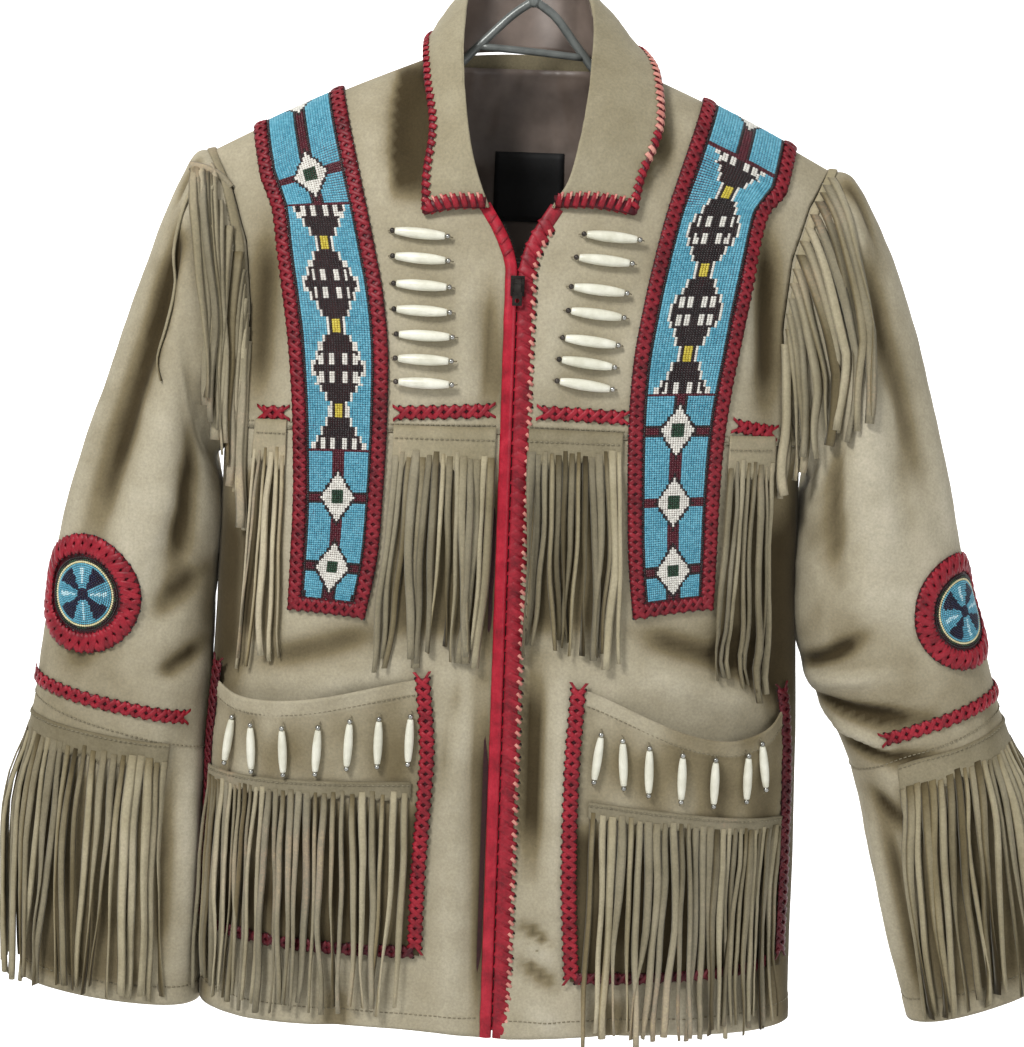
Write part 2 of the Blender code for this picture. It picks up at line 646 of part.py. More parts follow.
for side, word in ((-1, "right"), (1, "left")):
    tree = tree_of(["sleeve_" + word, "yoke_" + word, "front_" + word])
    cols = []
    last = 1000.0
    for xe, ze, deg in SFRINGE[side]:
        # start on the armhole seam, at a place down its front
        c = math.cos(math.radians(deg * 1.75))
        z0 = lerp(TIP_Z, UNDERARM_Z, (1 - c) / 2)
        x0 = last = min(table(ARMHOLE, z0, 1) + 4.0, last - 3.0)
        col = []
        y = 0.0
        steps = 8
        for k in range(steps + 1):
            q = (k / steps) ** 1.5
            x = lerp(x0, xe, min(q * 1.6, 1.0) ** 0.8)
            z = lerp(z0, ze, q)
            hit = tree.ray_cast(Vector((side * x, -400.0, z)), Vector((0, 1, 0)))
            hy = hit[0].y if hit[0] is not None else 0.0
            y = min(y, hy - 7.5) if k else hy - 7.5
            col.append(Vector((side * x, y, z)))
        cols.append(col)
    pts = [cols[j][k] for k in range(9) for j in range(len(cols))]
    nrm = [Vector((0, -1, 0))] * len(pts)
    wall("shoulder_fringe_" + word, pts, nrm, grid_faces(9, len(cols)), 2.4, 2.4, FRINGE)

# ---------------------------------------------------------------- sleeve fringes
# wrap the sleeve's front and outer side: front end angle, back end angle, top ring, end ring
CUFF_FRINGE = {-1: (134.0, -60.0, 8.3, 12.0), 1: (118.0, -60.0, 8.55, 12.0)}
for side, word in ((-1, "right"), (1, "left")):
    a0, a1, v0, v1 = CUFF_FRINGE[side]
    pts, nrm = [], []
    for k in range(6):
        q = k / 5
        for j in range(11):
            phi = math.radians(lerp(a0, a1, j / 10))
            p, n = sleeve_at(side, phi, min(lerp(v0, v1, q), 11.96))
            if q == 1.0:
                p = p + Vector((0, 0, 4.0))
            flare = 12.0 * q * max(math.cos(phi), 0.0)
            pts.append(p + n * (1.6 + flare))
            nrm.append(n)
    wall("sleeve_fringe_" + word, pts, nrm, grid_faces(6, 11), 3.0, 3.0, FRINGE)

# ---------------------------------------------------------------- rosettes
# beaded disc with a laced leather ring: height of its middle, angle round the sleeve, radius
ROSETTE = {-1: (-551.0, 64.0, 46.0), 1: (-543.0, 40.0, 45.0)}


def ring_at(side, phi, z):
    # ring place at which the sleeve's line at this angle passes the height z
    lo, hi = 2.0, 12.0
    for _ in range(30):
        mid = (lo + hi) / 2
        if sleeve(side, phi, mid).z > z:
            lo = mid
        else:
            hi = mid
    return (lo + hi) / 2


def walk(side, phi, v, ang, reach, steps):
    # points along the sleeve's surface from a place on it, `ang` from the viewer's right
    p, n = sleeve_at(side, phi, v)
    up = (Vector((0, 0, 1)) - n * n.z).normalized()
    d = up.cross(n) * math.cos(ang) + up * math.sin(ang)
    out = [(p, n)]
    h = reach / steps
    for _ in range(steps):
        a = (sleeve(side, phi + 0.02, v) - sleeve(side, phi - 0.02, v)) / 0.04
        b = (sleeve(side, phi, v + 0.02) - sleeve(side, phi, v - 0.02)) / 0.04
        aa, ab, bb, da, db = a.dot(a), a.dot(b), b.dot(b), d.dot(a), d.dot(b)
        det = aa * bb - ab * ab
        phi += h * (da * bb - db * ab) / det
        v += h * (db * aa - da * ab) / det
        p, n = sleeve_at(side, phi, v)
        d = (d - n * d.dot(n)).normalized()
        out.append((p, n))
    return out


for side, word in ((-1, "right"), (1, "left")):
    zc, deg, rad = ROSETTE[side]
    vc = ring_at(side, math.radians(deg), zc)
    c0, n0 = sleeve_at(side, math.radians(deg), vc)
    pts, nrm, faces = [c0], [n0], []
    spokes = 20
    lines = [walk(side, math.radians(deg), vc, 2 * math.pi * k / spokes, rad, 9) for k in range(spokes)]
    for i in (3, 6, 9):
        for line in lines:
            pts.append(line[i][0])
            nrm.append(line[i][1])
    for k in range(spokes):
        b = (k + 1) % spokes
        faces.append([0, 1 + k, 1 + b])
        for r in range(2):
            faces.append([1 + r * spokes + k, 1 + (r + 1) * spokes + k, 1 + (r + 1) * spokes + b, 1 + r * spokes + b])
    wall("rosette_" + word, pts, nrm, faces, 0.9 + 2.0, 2.0, BEADS)

# ---------------------------------------------------------------- edge bindings
# folded red leather, a C section round each front's inner edge
LIP, BIND = 7.6, 1.2
BIND_Z = [HEM_Z + 0.5 + 47.0 * k for k in range(13)] + [-305.0, -292.0, -284.0, -276.0, -268.0, -260.0, -253.5]


def edge_frame(side, z):
    # edge point, outward normal, direction into the front
    p, n = torso(side * table(FRONT_EDGE, z, 1), z, -1)
    a, _ = torso(side * table(FRONT_EDGE, z - 3.0, 1), z - 3.0, -1)
    b, _ = torso(side * table(FRONT_EDGE, z + 3.0, 1), z + 3.0, -1)
    t = (b - a).normalized()
    d = n.cross(t).normalized()
    if d.x * side < 0:
        d = -d
    return p, n, d


for side, word in ((-1, "right"), (1, "left")):
    bm = bmesh.new()
    rings = []
    for z in BIND_Z:
        p, n, d = edge_frame(side, z)
        sec = ((LIP, 0.35), (LIP, 0.35 + BIND), (-2.4, 0.35 + BIND), (-2.4, -LEATHER - 0.35 - BIND),
               (LIP, -LEATHER - 0.35 - BIND), (LIP, -LEATHER - 0.35), (-0.4, -LEATHER - 0.35), (-0.4, 0.35))
        rings.append([bm.verts.new(p + d * u + n * w) for u, w in sec])
    for a, b in zip(rings, rings[1:]):
        for k in range(8):
            m = (k + 1) % 8
            bm.faces.new([a[k], a[m], b[m], b[k]])
    for r in (rings[0], rings[-1]):
        bm.faces.new([r[0], r[1], r[2], r[7]])
        bm.faces.new([r[7], r[2], r[3], r[6]])
        bm.faces.new([r[6], r[3], r[4], r[5]])
    publish("binding_" + word, bm, RED)

# ---------------------------------------------------------------- zip
# both tapes and the closed chain in one piece, behind the bindings; open above the slider
ZIP_BACK = LEATHER + 0.35 + BIND + 0.5
pts, nrm, faces = [], [], []
zs = [HEM_Z + 4.0 + 57.0 * k for k in range(10)] + [-318.0, -306.0]
for z in zs:
    for x in (-12.0, -2.6, 0.0, 2.6, 12.0):
        p, n = torso(x, z, -1)
        pts.append(p)
        nrm.append(n)
faces += grid_faces(len(zs), 5)
base = (len(zs) - 1) * 5
for side in (-1, 1):
    last = [base + 2, base + (1 if side < 0 else 3), base + (0 if side < 0 else 4)]
    for z in (-292.0, -280.0, -268.0, -257.0):
        p, n, d = edge_frame(side, z)
        new = []
        for u in (-2.2, 1.6, 10.0):
            new.append(len(pts))
            pts.append(p + d * u)
            nrm.append(n)
        for k in range(2):
            q = [last[k], last[k + 1], new[k + 1], new[k]]
            faces.append(q if side > 0 else q[::-1])
        last = new
wall("zip", pts, nrm, faces, -ZIP_BACK, 1.4, ZIPPER)


# ---------------------------------------------------------------- slider and pull
def box(bm, lo, hi):
    r = bmesh.ops.create_cube(bm, size=1.0)
    for v in r["verts"]:
        v.co = Vector([lerp(lo[i], hi[i], v.co[i] + 0.5) for i in range(3)])
    return r["verts"]


def plain(name, bm):
    me = bpy.data.meshes.new(name)
    bm.to_mesh(me)
    bm.free()
    ob = bpy.data.objects.new(name, me)
    bpy.context.scene.collection.objects.link(ob)
    return ob


def rod_x(r, x0, x1, y, z, seg=14):
    bm = bmesh.new()
    q = bmesh.ops.create_cone(bm, cap_ends=True, segments=seg, radius1=r, radius2=r, depth=x1 - x0)
    bmesh.ops.rotate(bm, verts=q["verts"], cent=(0, 0, 0), matrix=Matrix.Rotation(math.pi / 2, 3, "Y"))
    bmesh.ops.translate(bm, verts=q["verts"], vec=((x0 + x1) / 2, y, z))
    return bm


def combine(base, tool, how):
    m = base.modifiers.new("c", "BOOLEAN")
    m.operation = how
    m.object = tool
    m.solver = "EXACT"
    dg = bpy.context.evaluated_depsgraph_get()
    me = bpy.data.meshes.new_from_object(base.evaluated_get(dg))
    base.modifiers.clear()
    old = base.data
    base.data = me
    bpy.data.meshes.remove(old)
    bpy.data.objects.remove(tool, do_unlink=True)
    return base


def box_ob(name, lo, hi):
    bm = bmesh.new()
    box(bm, lo, hi)
    return plain(name, bm)


def adopt(ob, name, look):
    bm = bmesh.new()
    bm.from_mesh(ob.data)
    bmesh.ops.remove_doubles(bm, verts=bm.verts[:], dist=0.0005)
    bpy.data.objects.remove(ob, do_unlink=True)
    return publish(name, bm, look)


SLIDE_Z = -301.0                 # hinge height
face_y = torso(0.0, SLIDE_Z - 14.0, -1)[0].y - 0.35 - BIND - 0.3
PLATE = 2.0
PIN_OUT = 2.7
pin_y = face_y - PLATE - PIN_OUT
plate = box_ob("s1", (-5.2, face_y - PLATE, -312.0), (5.2, face_y - 0.5, -297.0))
for sx in (-1, 1):
    lo, hi = sorted((sx * 2.9, sx * 4.6))
    lug = box_ob("s2", (lo, pin_y - 1.5, SLIDE_Z - 1.7), (hi, face_y - PLATE + 0.6, SLIDE_Z + 1.7))
    plate = combine(plate, lug, "UNION")
pin = plain("s3", rod_x(0.85, -3.6, 3.6, pin_y, SLIDE_Z))
plate = combine(plate, pin, "UNION")
adopt(plate, "zip_slider", METAL)

eye = plain("p1", rod_x(2.2, -2.4, 2.4, pin_y, SLIDE_Z, 18))
tail = box_ob("p2", (-2.6, pin_y - 0.75, SLIDE_Z - 9.0), (2.6, pin_y + 0.75, SLIDE_Z - 0.5))
eye = combine(eye, tail, "UNION")
leaf = box_ob("p4", (-3.6, pin_y - 0.75, SLIDE_Z - 18.0), (3.6, pin_y + 0.75, SLIDE_Z - 8.0))
eye = combine(eye, leaf, "UNION")
bm = bmesh.new()
q = bmesh.ops.create_cone(bm, cap_ends=True, segments=14, radius1=1.7, radius2=1.7, depth=8.0)
bmesh.ops.rotate(bm, verts=q["verts"], cent=(0, 0, 0), matrix=Matrix.Rotation(math.pi / 2, 3, "X"))
bmesh.ops.translate(bm, verts=q["verts"], vec=(0.0, pin_y, SLIDE_Z - 14.2))
eye = combine(eye, plain("p5", bm), "DIFFERENCE")
eye = combine(eye, plain("p3", rod_x(1.25, -6.0, 6.0, pin_y, SLIDE_Z)), "DIFFERENCE")
pull = adopt(eye, "zip_pull", METAL)
hinge = Vector((0.0, pin_y * 0.001, SLIDE_Z * 0.001))
pull.data.transform(Matrix.Translation(-hinge))
pull.location = hinge

# ---------------------------------------------------------------- bone beads
# hair-pipe bead with a small bead at each end, turned from one profile: along, radius
CHEST_PIPE = ((-23.0, 1.2), (-22.0, 2.1), (-19.2, 2.0), (-18.4, 2.4), (-9.0, 4.1), (9.0, 4.1),
              (18.4, 2.4), (19.2, 2.0), (22.0, 2.1), (23.0, 1.2))
POCKET_PIPE = ((-20.4, 1.2), (-19.5, 2.1), (-17.0, 1.9), (-16.2, 2.3), (-8.0, 3.4), (8.0, 3.4),
               (16.2, 2.3), (17.0, 1.9), (19.5, 2.1), (20.4, 1.2))
BEAD_SIDES = 6


def bead(name, centre, along, profile):
    along = along.normalized()
    a = along.cross(Vector((0, 1, 0))).normalized()
    b = along.cross(a)
    bm = bmesh.new()
    rings = []
    for s, r in profile:
        rings.append([bm.verts.new(centre + along * s + (a * math.cos(k * 2 * math.pi / BEAD_SIDES)
                      + b * math.sin(k * 2 * math.pi / BEAD_SIDES)) * r) for k in range(BEAD_SIDES)])
    for p, q in zip(rings, rings[1:]):
        for k in range(BEAD_SIDES):
            m = (k + 1) % BEAD_SIDES
            bm.faces.new([p[k], p[m], q[m], q[k]])
    bm.faces.new(rings[0])
    bm.faces.new(rings[-1])
    publish(name, bm, BONE)


# chest rows: x, z, fall to the viewer's right in degrees
CHEST_BEADS = {
    -1: ((-73.0, -269.5, 4.0), (-72.0, -287.5, 3.0), (-70.5, -307.0, 2.0), (-69.5, -325.5, 1.5),
         (-67.0, -343.5, 1.0), (-67.0, -361.0, 1.0), (-66.0, -378.0, 1.0)),
    1: ((68.0, -267.5, 4.0), (63.0, -284.5, 4.5), (60.0, -306.0, 5.0), (58.5, -323.5, 5.5),
        (55.0, -343.5, 6.0), (53.0, -359.5, 6.5), (52.0, -375.5, 7.0)),
}
for side, word in ((-1, "right"), (1, "left")):
    for k, (x, z, deg) in enumerate(CHEST_BEADS[side]):
        p, n = torso(x, z, -1)
        a = math.radians(deg)
        e0, _ = torso(x - 22 * math.cos(a), z + 22 * math.sin(a), -1)
        e1, _ = torso(x + 22 * math.cos(a), z - 22 * math.sin(a), -1)
        bead("bone_chest_%s_%d" % (word, k + 1), p + n * 4.75, e1 - e0, CHEST_PIPE)

# pocket rows: distance from the middle, z, lean in degrees
POCKET_BEADS = {
    -1: ((204.0, -660.0, 9.0), (186.0, -663.0, -1.0), (162.0, -662.0, -2.0), (137.0, -659.0, 3.0),
         (114.0, -653.0, 2.0), (92.0, -650.0, 0.0), (69.0, -647.0, 1.0)),
    1: ((72.0, -656.0, 7.0), (91.0, -660.0, -3.0), (110.0, -665.0, -1.0), (134.0, -670.0, -1.0),
        (158.0, -674.0, -1.0), (182.0, -672.0, -2.0), (194.0, -664.0, -9.0)),
}
for side, word in ((-1, "right"), (1, "left")):
    for k, (x, z, deg) in enumerate(POCKET_BEADS[side]):
        u = pocket_u(side, x, z)
        p, n = pocket_point(side, u, z, POCKET_OUT + LEATHER)
        up, _ = pocket_point(side, u, z + 12.0, POCKET_OUT + LEATHER)
        dn, _ = pocket_point(side, u, z - 12.0, POCKET_OUT + LEATHER)
        along = (up - dn).normalized() + Vector((math.tan(math.radians(deg)), 0, 0))
        bead("bone_pocket_%s_%d" % (word, k + 1), p + n * 4.6, along, POCKET_PIPE)

# ---------------------------------------------------------------- hanger
HOOK_R, WIRE, TUBE = 24.0, 2.2, 3.3


def tube(name, path, r, sides=10):
    # straight-run tube with mitred corners and filled ends
    bm = bmesh.new()
    rings = []
    n = len(path)
    for i, p in enumerate(path):
        a = (path[i] - path[i - 1]).normalized() if i else (path[1] - path[0]).normalized()
        b = (path[i + 1] - path[i]).normalized() if i < n - 1 else a
        t = (a + b).normalized()
        u = Vector((0, 1, 0))
        w = t.cross(u).normalized()
        s = 1.0 / max(math.sqrt((1 + a.dot(b)) / 2), 0.5)
        rings.append([bm.verts.new(p + w * r * s * math.cos(2 * math.pi * k / sides)
                      + u * r * math.sin(2 * math.pi * k / sides)) for k in range(sides)])
    for p, q in zip(rings, rings[1:]):
        for k in range(sides):
            m = (k + 1) % sides
            bm.faces.new([p[k], p[m], q[m], q[k]])
    bm.faces.new(rings[0])
    bm.faces.new(rings[-1])
    bmesh.ops.recalc_face_normals(bm, faces=bm.faces[:])
    return plain(name, bm)


HOOK_C = Vector((0.0, 0.0, WIRE - HOOK_R))
hook = [HOOK_C + Vector((HOOK_R * math.cos(math.radians(a)), 0, HOOK_R * math.sin(math.radians(a))))
        for a in range(200, -31, -23)]
hook += [Vector((10.0, 0, -50.0)), Vector((5.0, 0, -60.0)), Vector((5.0, 0, -94.0))]
wire = tube("h0", hook, WIRE)
# arms: x, height, from the hook's foot to the ends
LEFT_ARM = ((5.0, -91.0), (-12.0, -103.0), (-38.0, -128.0), (-60.0, -147.0), (-120.0, -175.0), (-175.0, -199.5), (-206.0, -216.0))
RIGHT_ARM = ((5.0, -91.0), (22.0, -103.0), (42.0, -128.0), (62.0, -148.0), (120.0, -175.0), (175.0, -199.5), (206.0, -216.0))
left = tube("h1", [Vector((x, 0, z)) for x, z in LEFT_ARM], TUBE)
right = tube("h2", [Vector((x, 0, z)) for x, z in RIGHT_ARM], TUBE - 0.05)
brace = tube("h3", [Vector((-36.0, 0.1, -126.5)), Vector((44.0, 0.1, -132.5))], TUBE - 0.5)
hanger = combine(left, right, "UNION")
hanger = combine(hanger, wire, "UNION")
hanger = combine(hanger, brace, "UNION")
adopt(hanger, "hanger", GREY)

print("triangles", sum(len(o.data.loop_triangles) or sum(len(p.vertices) - 2 for p in o.data.polygons)
                       for o in bpy.data.objects if o.type == "MESH"))
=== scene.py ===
import bpy
import json
import math
import random
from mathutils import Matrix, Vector, noise
from mathutils.bvhtree import BVHTree

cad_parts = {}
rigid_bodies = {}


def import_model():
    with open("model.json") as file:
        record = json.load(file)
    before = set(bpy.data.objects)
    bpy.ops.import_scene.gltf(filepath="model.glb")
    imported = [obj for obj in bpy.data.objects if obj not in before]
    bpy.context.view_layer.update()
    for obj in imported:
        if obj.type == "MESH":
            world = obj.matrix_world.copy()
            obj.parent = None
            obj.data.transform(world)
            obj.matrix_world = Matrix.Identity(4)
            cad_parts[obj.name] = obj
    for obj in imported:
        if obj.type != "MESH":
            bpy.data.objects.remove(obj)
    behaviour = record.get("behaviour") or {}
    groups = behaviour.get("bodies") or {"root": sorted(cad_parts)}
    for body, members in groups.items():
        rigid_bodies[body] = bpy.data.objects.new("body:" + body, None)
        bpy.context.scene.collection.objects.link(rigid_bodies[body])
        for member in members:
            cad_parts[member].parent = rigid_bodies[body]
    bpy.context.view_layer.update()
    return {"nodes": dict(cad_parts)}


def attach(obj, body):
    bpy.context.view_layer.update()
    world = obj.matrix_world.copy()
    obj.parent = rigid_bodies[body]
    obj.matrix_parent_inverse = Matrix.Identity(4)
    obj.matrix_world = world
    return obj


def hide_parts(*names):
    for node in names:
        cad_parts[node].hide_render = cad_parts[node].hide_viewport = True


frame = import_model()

# Everything below is worked out in millimetres in the part's own frame and
# becomes metres when a mesh is made. Front is -Y, the viewer's right is +X.

# ---------------------------------------------------------------- form of the garment
LEATHER = 1.6
HEM_Z = -879.0
UNDERARM_Z = -440.0
TIP_X, TIP_Z = 236.0, -211.0
NECK_X, NECK_Z = 78.0, -138.0
NECK_RISE = 10.0
BACK_NAPE = 95.0
ROUND_FRONT, ROUND_BACK = 250.0, 210.0
POWER = 2.4
YOKE_Z_IN, YOKE_Z_OUT = -414.0, -421.0

# height, half width, front depth, back depth
BODY = sorted((
    (-60.0, 256.0, 82.0, 60.0), (-211.0, 247.0, 83.0, 62.0), (-330.0, 234.0, 88.0, 66.0),
    (-440.0, 224.5, 90.0, 68.0), (-560.0, 228.0, 91.0, 69.0), (-650.0, 232.5, 92.0, 70.0),
    (-750.0, 235.5, 94.0, 71.0), (-900.0, 237.0, 96.0, 73.0)))
# height, armhole x in front, armhole x behind
ARMHOLE = sorted((
    (-211.0, 236.0, 236.0), (-240.0, 219.0, 227.0), (-279.0, 206.0, 219.0), (-330.0, 202.0, 214.0),
    (-380.0, 206.0, 215.0), (-420.0, 217.0, 221.0), (-440.0, 224.5, 224.5)))
# height, x of a front's inner edge
FRONT_EDGE = sorted((
    (-900.0, 3.0), (-292.0, 3.0), (-280.0, 6.0), (-271.0, 9.5), (-260.0, 15.5), (-248.0, 23.0),
    (-220.0, 40.0), (-195.0, 55.0), (-170.0, 68.0), (-150.0, 76.0), (-138.0, 78.0)))


def table(rows, key, col):
    if key <= rows[0][0]:
        return rows[0][col]
    for lo, hi in zip(rows, rows[1:]):
        if key <= hi[0]:
            q = (key - lo[0]) / (hi[0] - lo[0])
            return lo[col] + (hi[col] - lo[col]) * q
    return rows[-1][col]


def lerp(a, b, q):
    return a + (b - a) * q


def smooth(a, b, x):
    q = min(max((x - a) / (b - a), 0.0), 1.0)
    return q * q * (3 - 2 * q)


def shoulder_z(ax, face):
    if ax < NECK_X:
        if face < 0:
            return NECK_Z
        return NECK_Z + BACK_NAPE * (1.0 - (ax / NECK_X) ** 2) ** 1.5
    q = (ax - NECK_X) / (TIP_X - NECK_X)
    return NECK_Z + (TIP_Z - NECK_Z) * q + 3.0 * math.sin(math.pi * min(q, 1.0))


def torso(x, z, face):
    ax = abs(x)
    sx = 1.0 if x >= 0 else -1.0
    w = table(BODY, z, 1)
    a = table(BODY, z, 2 if face < 0 else 3)
    rnd = ROUND_FRONT if face < 0 else ROUND_BACK
    r = min(ax / w, 1.0)
    k = max(1.0 - r ** POWER, 0.0)
    s = k ** (1.0 / POWER)
    h = min(max(shoulder_z(ax, face) - z, 0.0), rnd)
    g2 = 1.0 - (1.0 - h / rnd) ** 2
    y = face * a * s * math.sqrt(g2)
    slope = (shoulder_z(ax + 0.5, face) - shoulder_z(max(ax - 0.5, 0.0), face)) / (1.0 if ax > 0.5 else 0.5 + ax)
    fall = 2.0 * (1.0 - h / rnd) / rnd
    kk = max(k, 1e-4)
    nx = g2 * 2.0 * kk ** (2.0 / POWER - 1.0) * r ** (POWER - 1.0) / w - s * s * fall * slope
    n = Vector((nx * sx, 2.0 * y / (a * a), s * s * fall))
    if n.length < 1e-9:
        n = Vector((sx, 0.0, 0.0))
    n.normalize()
    return Vector((x, y, z)), n


def t_of(x, z):
    r = min(abs(x) / table(BODY, z, 1), 1.0)
    return 2.0 / math.pi * math.asin(r ** (POWER / 2.0))


def x_of(t, z):
    return table(BODY, z, 1) * math.sin(math.pi * min(t, 1.0) / 2.0) ** (2.0 / POWER)


# ---------------------------------------------------------------- creases
# front and back: x0, z0, x1, z1, half width, height (minus is a trough)
FRONT_CREASES = (
    (-13.0, -440.0, -15.0, -600.0, 7.0, -5.0),
    (-17.0, -600.0, -10.0, -872.0, 7.5, -6.5),
    (-37.0, -580.0, -30.0, -876.0, 11.0, 5.0),
    (-34.0, -590.0, -44.0, -690.0, 6.0, -4.5),
    (23.0, -585.0, 26.0, -748.0, 9.0, -7.0),
    (45.0, -596.0, 48.0, -790.0, 10.0, 5.5),
    (19.0, -786.0, 42.0, -805.0, 5.0, -4.6),
    (20.0, -800.0, 46.0, -818.0, 5.0, 3.6),
    (20.0, -816.0, 48.0, -838.0, 5.5, -4.4),
    (26.0, -850.0, 52.0, -872.0, 8.0, 3.4),
    (14.0, -430.0, 14.0, -580.0, 5.0, 2.4),
    (20.0, -430.0, 22.0, -580.0, 5.0, -3.4),
    (186.0, -250.0, 192.0, -400.0, 12.0, -6.5),
    (168.0, -262.0, 178.0, -380.0, 9.0, 3.0),
    (-190.0, -262.0, -196.0, -405.0, 12.0, -5.0),
    (-84.0, -152.0, -85.0, -226.0, 13.0, -10.0),
    (92.0, -150.0, 108.0, -215.0, 9.0, -4.5),
    (120.0, -300.0, 60.0, -400.0, 16.0, 2.4),
    (-112.0, -300.0, -52.0, -405.0, 16.0, 2.4),
    (-22.0, -300.0, -16.0, -406.0, 9.0, -4.0),
    (-38.0, -290.0, -34.0, -400.0, 10.0, 3.0),
    (30.0, -300.0, 24.0, -400.0, 11.0, 3.0),
    (96.0, -560.0, 190.0, -590.0, 10.0, -4.8),
    (100.0, -592.0, 200.0, -622.0, 12.0, 4.0),
    (160.0, -560.0, 206.0, -610.0, 12.0, -5.0),
    (-92.0, -566.0, -196.0, -600.0, 10.0, -4.0),
    (-150.0, -620.0, -60.0, -584.0, 10.0, 3.4),
    (205.0, -450.0, 212.0, -640.0, 12.0, -6.0),
    (212.0, -700.0, 214.0, -872.0, 10.0, -6.0),
    (-208.0, -460.0, -214.0, -640.0, 12.0, -5.0),
    (-190.0, -850.0, -186.0, -884.0, 14.0, 3.0),
    (-120.0, -845.0, -122.0, -884.0, 12.0, -3.4),
    (90.0, -845.0, 92.0, -884.0, 13.0, -3.4),
    (150.0, -850.0, 152.0, -884.0, 12.0, 3.0),
)
BACK_CREASES = (
    (-150.0, -420.0, -168.0, -840.0, 15.0, -5.5),
    (-96.0, -330.0, -110.0, -872.0, 20.0, 4.0),
    (-34.0, -470.0, -44.0, -876.0, 16.0, -5.0),
    (18.0, -300.0, 10.0, -700.0, 22.0, 3.4),
    (62.0, -520.0, 70.0, -878.0, 15.0, -4.8),
    (118.0, -360.0, 132.0, -800.0, 20.0, 4.0),
    (160.0, -560.0, 172.0, -878.0, 13.0, -5.0),
    (-190.0, -300.0, -120.0, -380.0, 13.0, -3.6),
    (186.0, -310.0, 110.0, -392.0, 13.0, -3.2),
    (-70.0, -210.0, 60.0, -216.0, 12.0, -2.4),
)


def crease_sum(rows, x, z):
    d = 0.0
    for x0, z0, x1, z1, w, h in rows:
        vx, vz = x1 - x0, z1 - z0
        L2 = vx * vx + vz * vz
        q = ((x - x0) * vx + (z - z0) * vz) / L2
        if q < -0.3 or q > 1.3:
            continue
        qc = min(max(q, 0.0), 1.0)
        dx, dz = x - (x0 + vx * qc), z - (z0 + vz * qc)
        r2 = (dx * dx + dz * dz) / (w * w)
        if r2 > 9.0:
            continue
        taper = smooth(-0.02, 0.3, q) * smooth(1.02, 0.7, q) if L2 > 1 else 1.0
        d += h * math.exp(-r2) * (0.25 + 0.75 * taper)
    return d


def crease_shade_of(d):
    # painted shade: hollows of the suede are painted darker and ridges lighter, as the light falls on them
    return min(max(0.5 + d / 11.0, 0.0), 1.0)


# painted shade: darker patches on the fronts under the fringes and on the yoke beside the collar, where their shadows
# fall
FRINGE_SHADE = (
    (-1, 14.0, 90.0, -450.0, -574.0), (-1, 170.0, 204.0, -452.0, -586.0),
    (1, 14.0, 82.0, -444.0, -568.0), (1, 163.0, 202.0, -450.0, -594.0),
    (-1, 60.0, 98.0, -140.0, -250.0), (1, 74.0, 98.0, -150.0, -236.0))


def front_painted_shade(side, x, z):
    n = crease_shade_of(crease_sum(FRONT_CREASES, side * x, z))
    for sd, xa, xb, za, zb in FRINGE_SHADE:
        if sd == side:
            n -= 0.36 * smooth(xa - 3, xa + 6, x) * smooth(xb + 3, xb - 6, x) * smooth(za + 8, za - 12, z) * smooth(zb - 4, zb + 18, z)
    # painted shade on the sides of the fronts below the arms
    n -= (0.42 if side > 0 else 0.34) * smooth(0.70, 0.86, t_of(x, z)) * smooth(-412.0, -452.0, z)
    return min(max(n, 0.0), 1.0)


def disp(x, z, face):
    rows = FRONT_CREASES if face < 0 else BACK_CREASES
    d = crease_sum(rows, x, z)
    seed = 0.0 if face < 0 else 40.0
    d += 2.4 * noise.noise(Vector((x / 62.0 + seed, z / 150.0, 3.1)))
    d += 0.9 * noise.noise(Vector((x / 24.0 + seed, z / 46.0, 8.7)))
    d += 0.35 * noise.noise(Vector((x / 9.0 + seed, z / 13.0, 1.7)))
    d += 3.0 * math.sin(x / 34.0 + (0.6 if face < 0 else 2.1)) * smooth(-800.0, -882.0, z)
    side = smooth(0.985, 0.86, t_of(x, z))
    h = shoulder_z(abs(x), face) - z
    top = smooth(2.0, 34.0, h)
    mid = smooth(2.0, 9.0, abs(x)) if face < 0 else 1.0
    return d * side * top * (0.25 + 0.75 * mid)


def skin(x, z, face, out=0.0):
    p, n = torso(x, z, face)
    return p + n * (disp(x, z, face) + out), n


def arm_x(z, face):
    return table(ARMHOLE, z, 1 if face < 0 else 2)


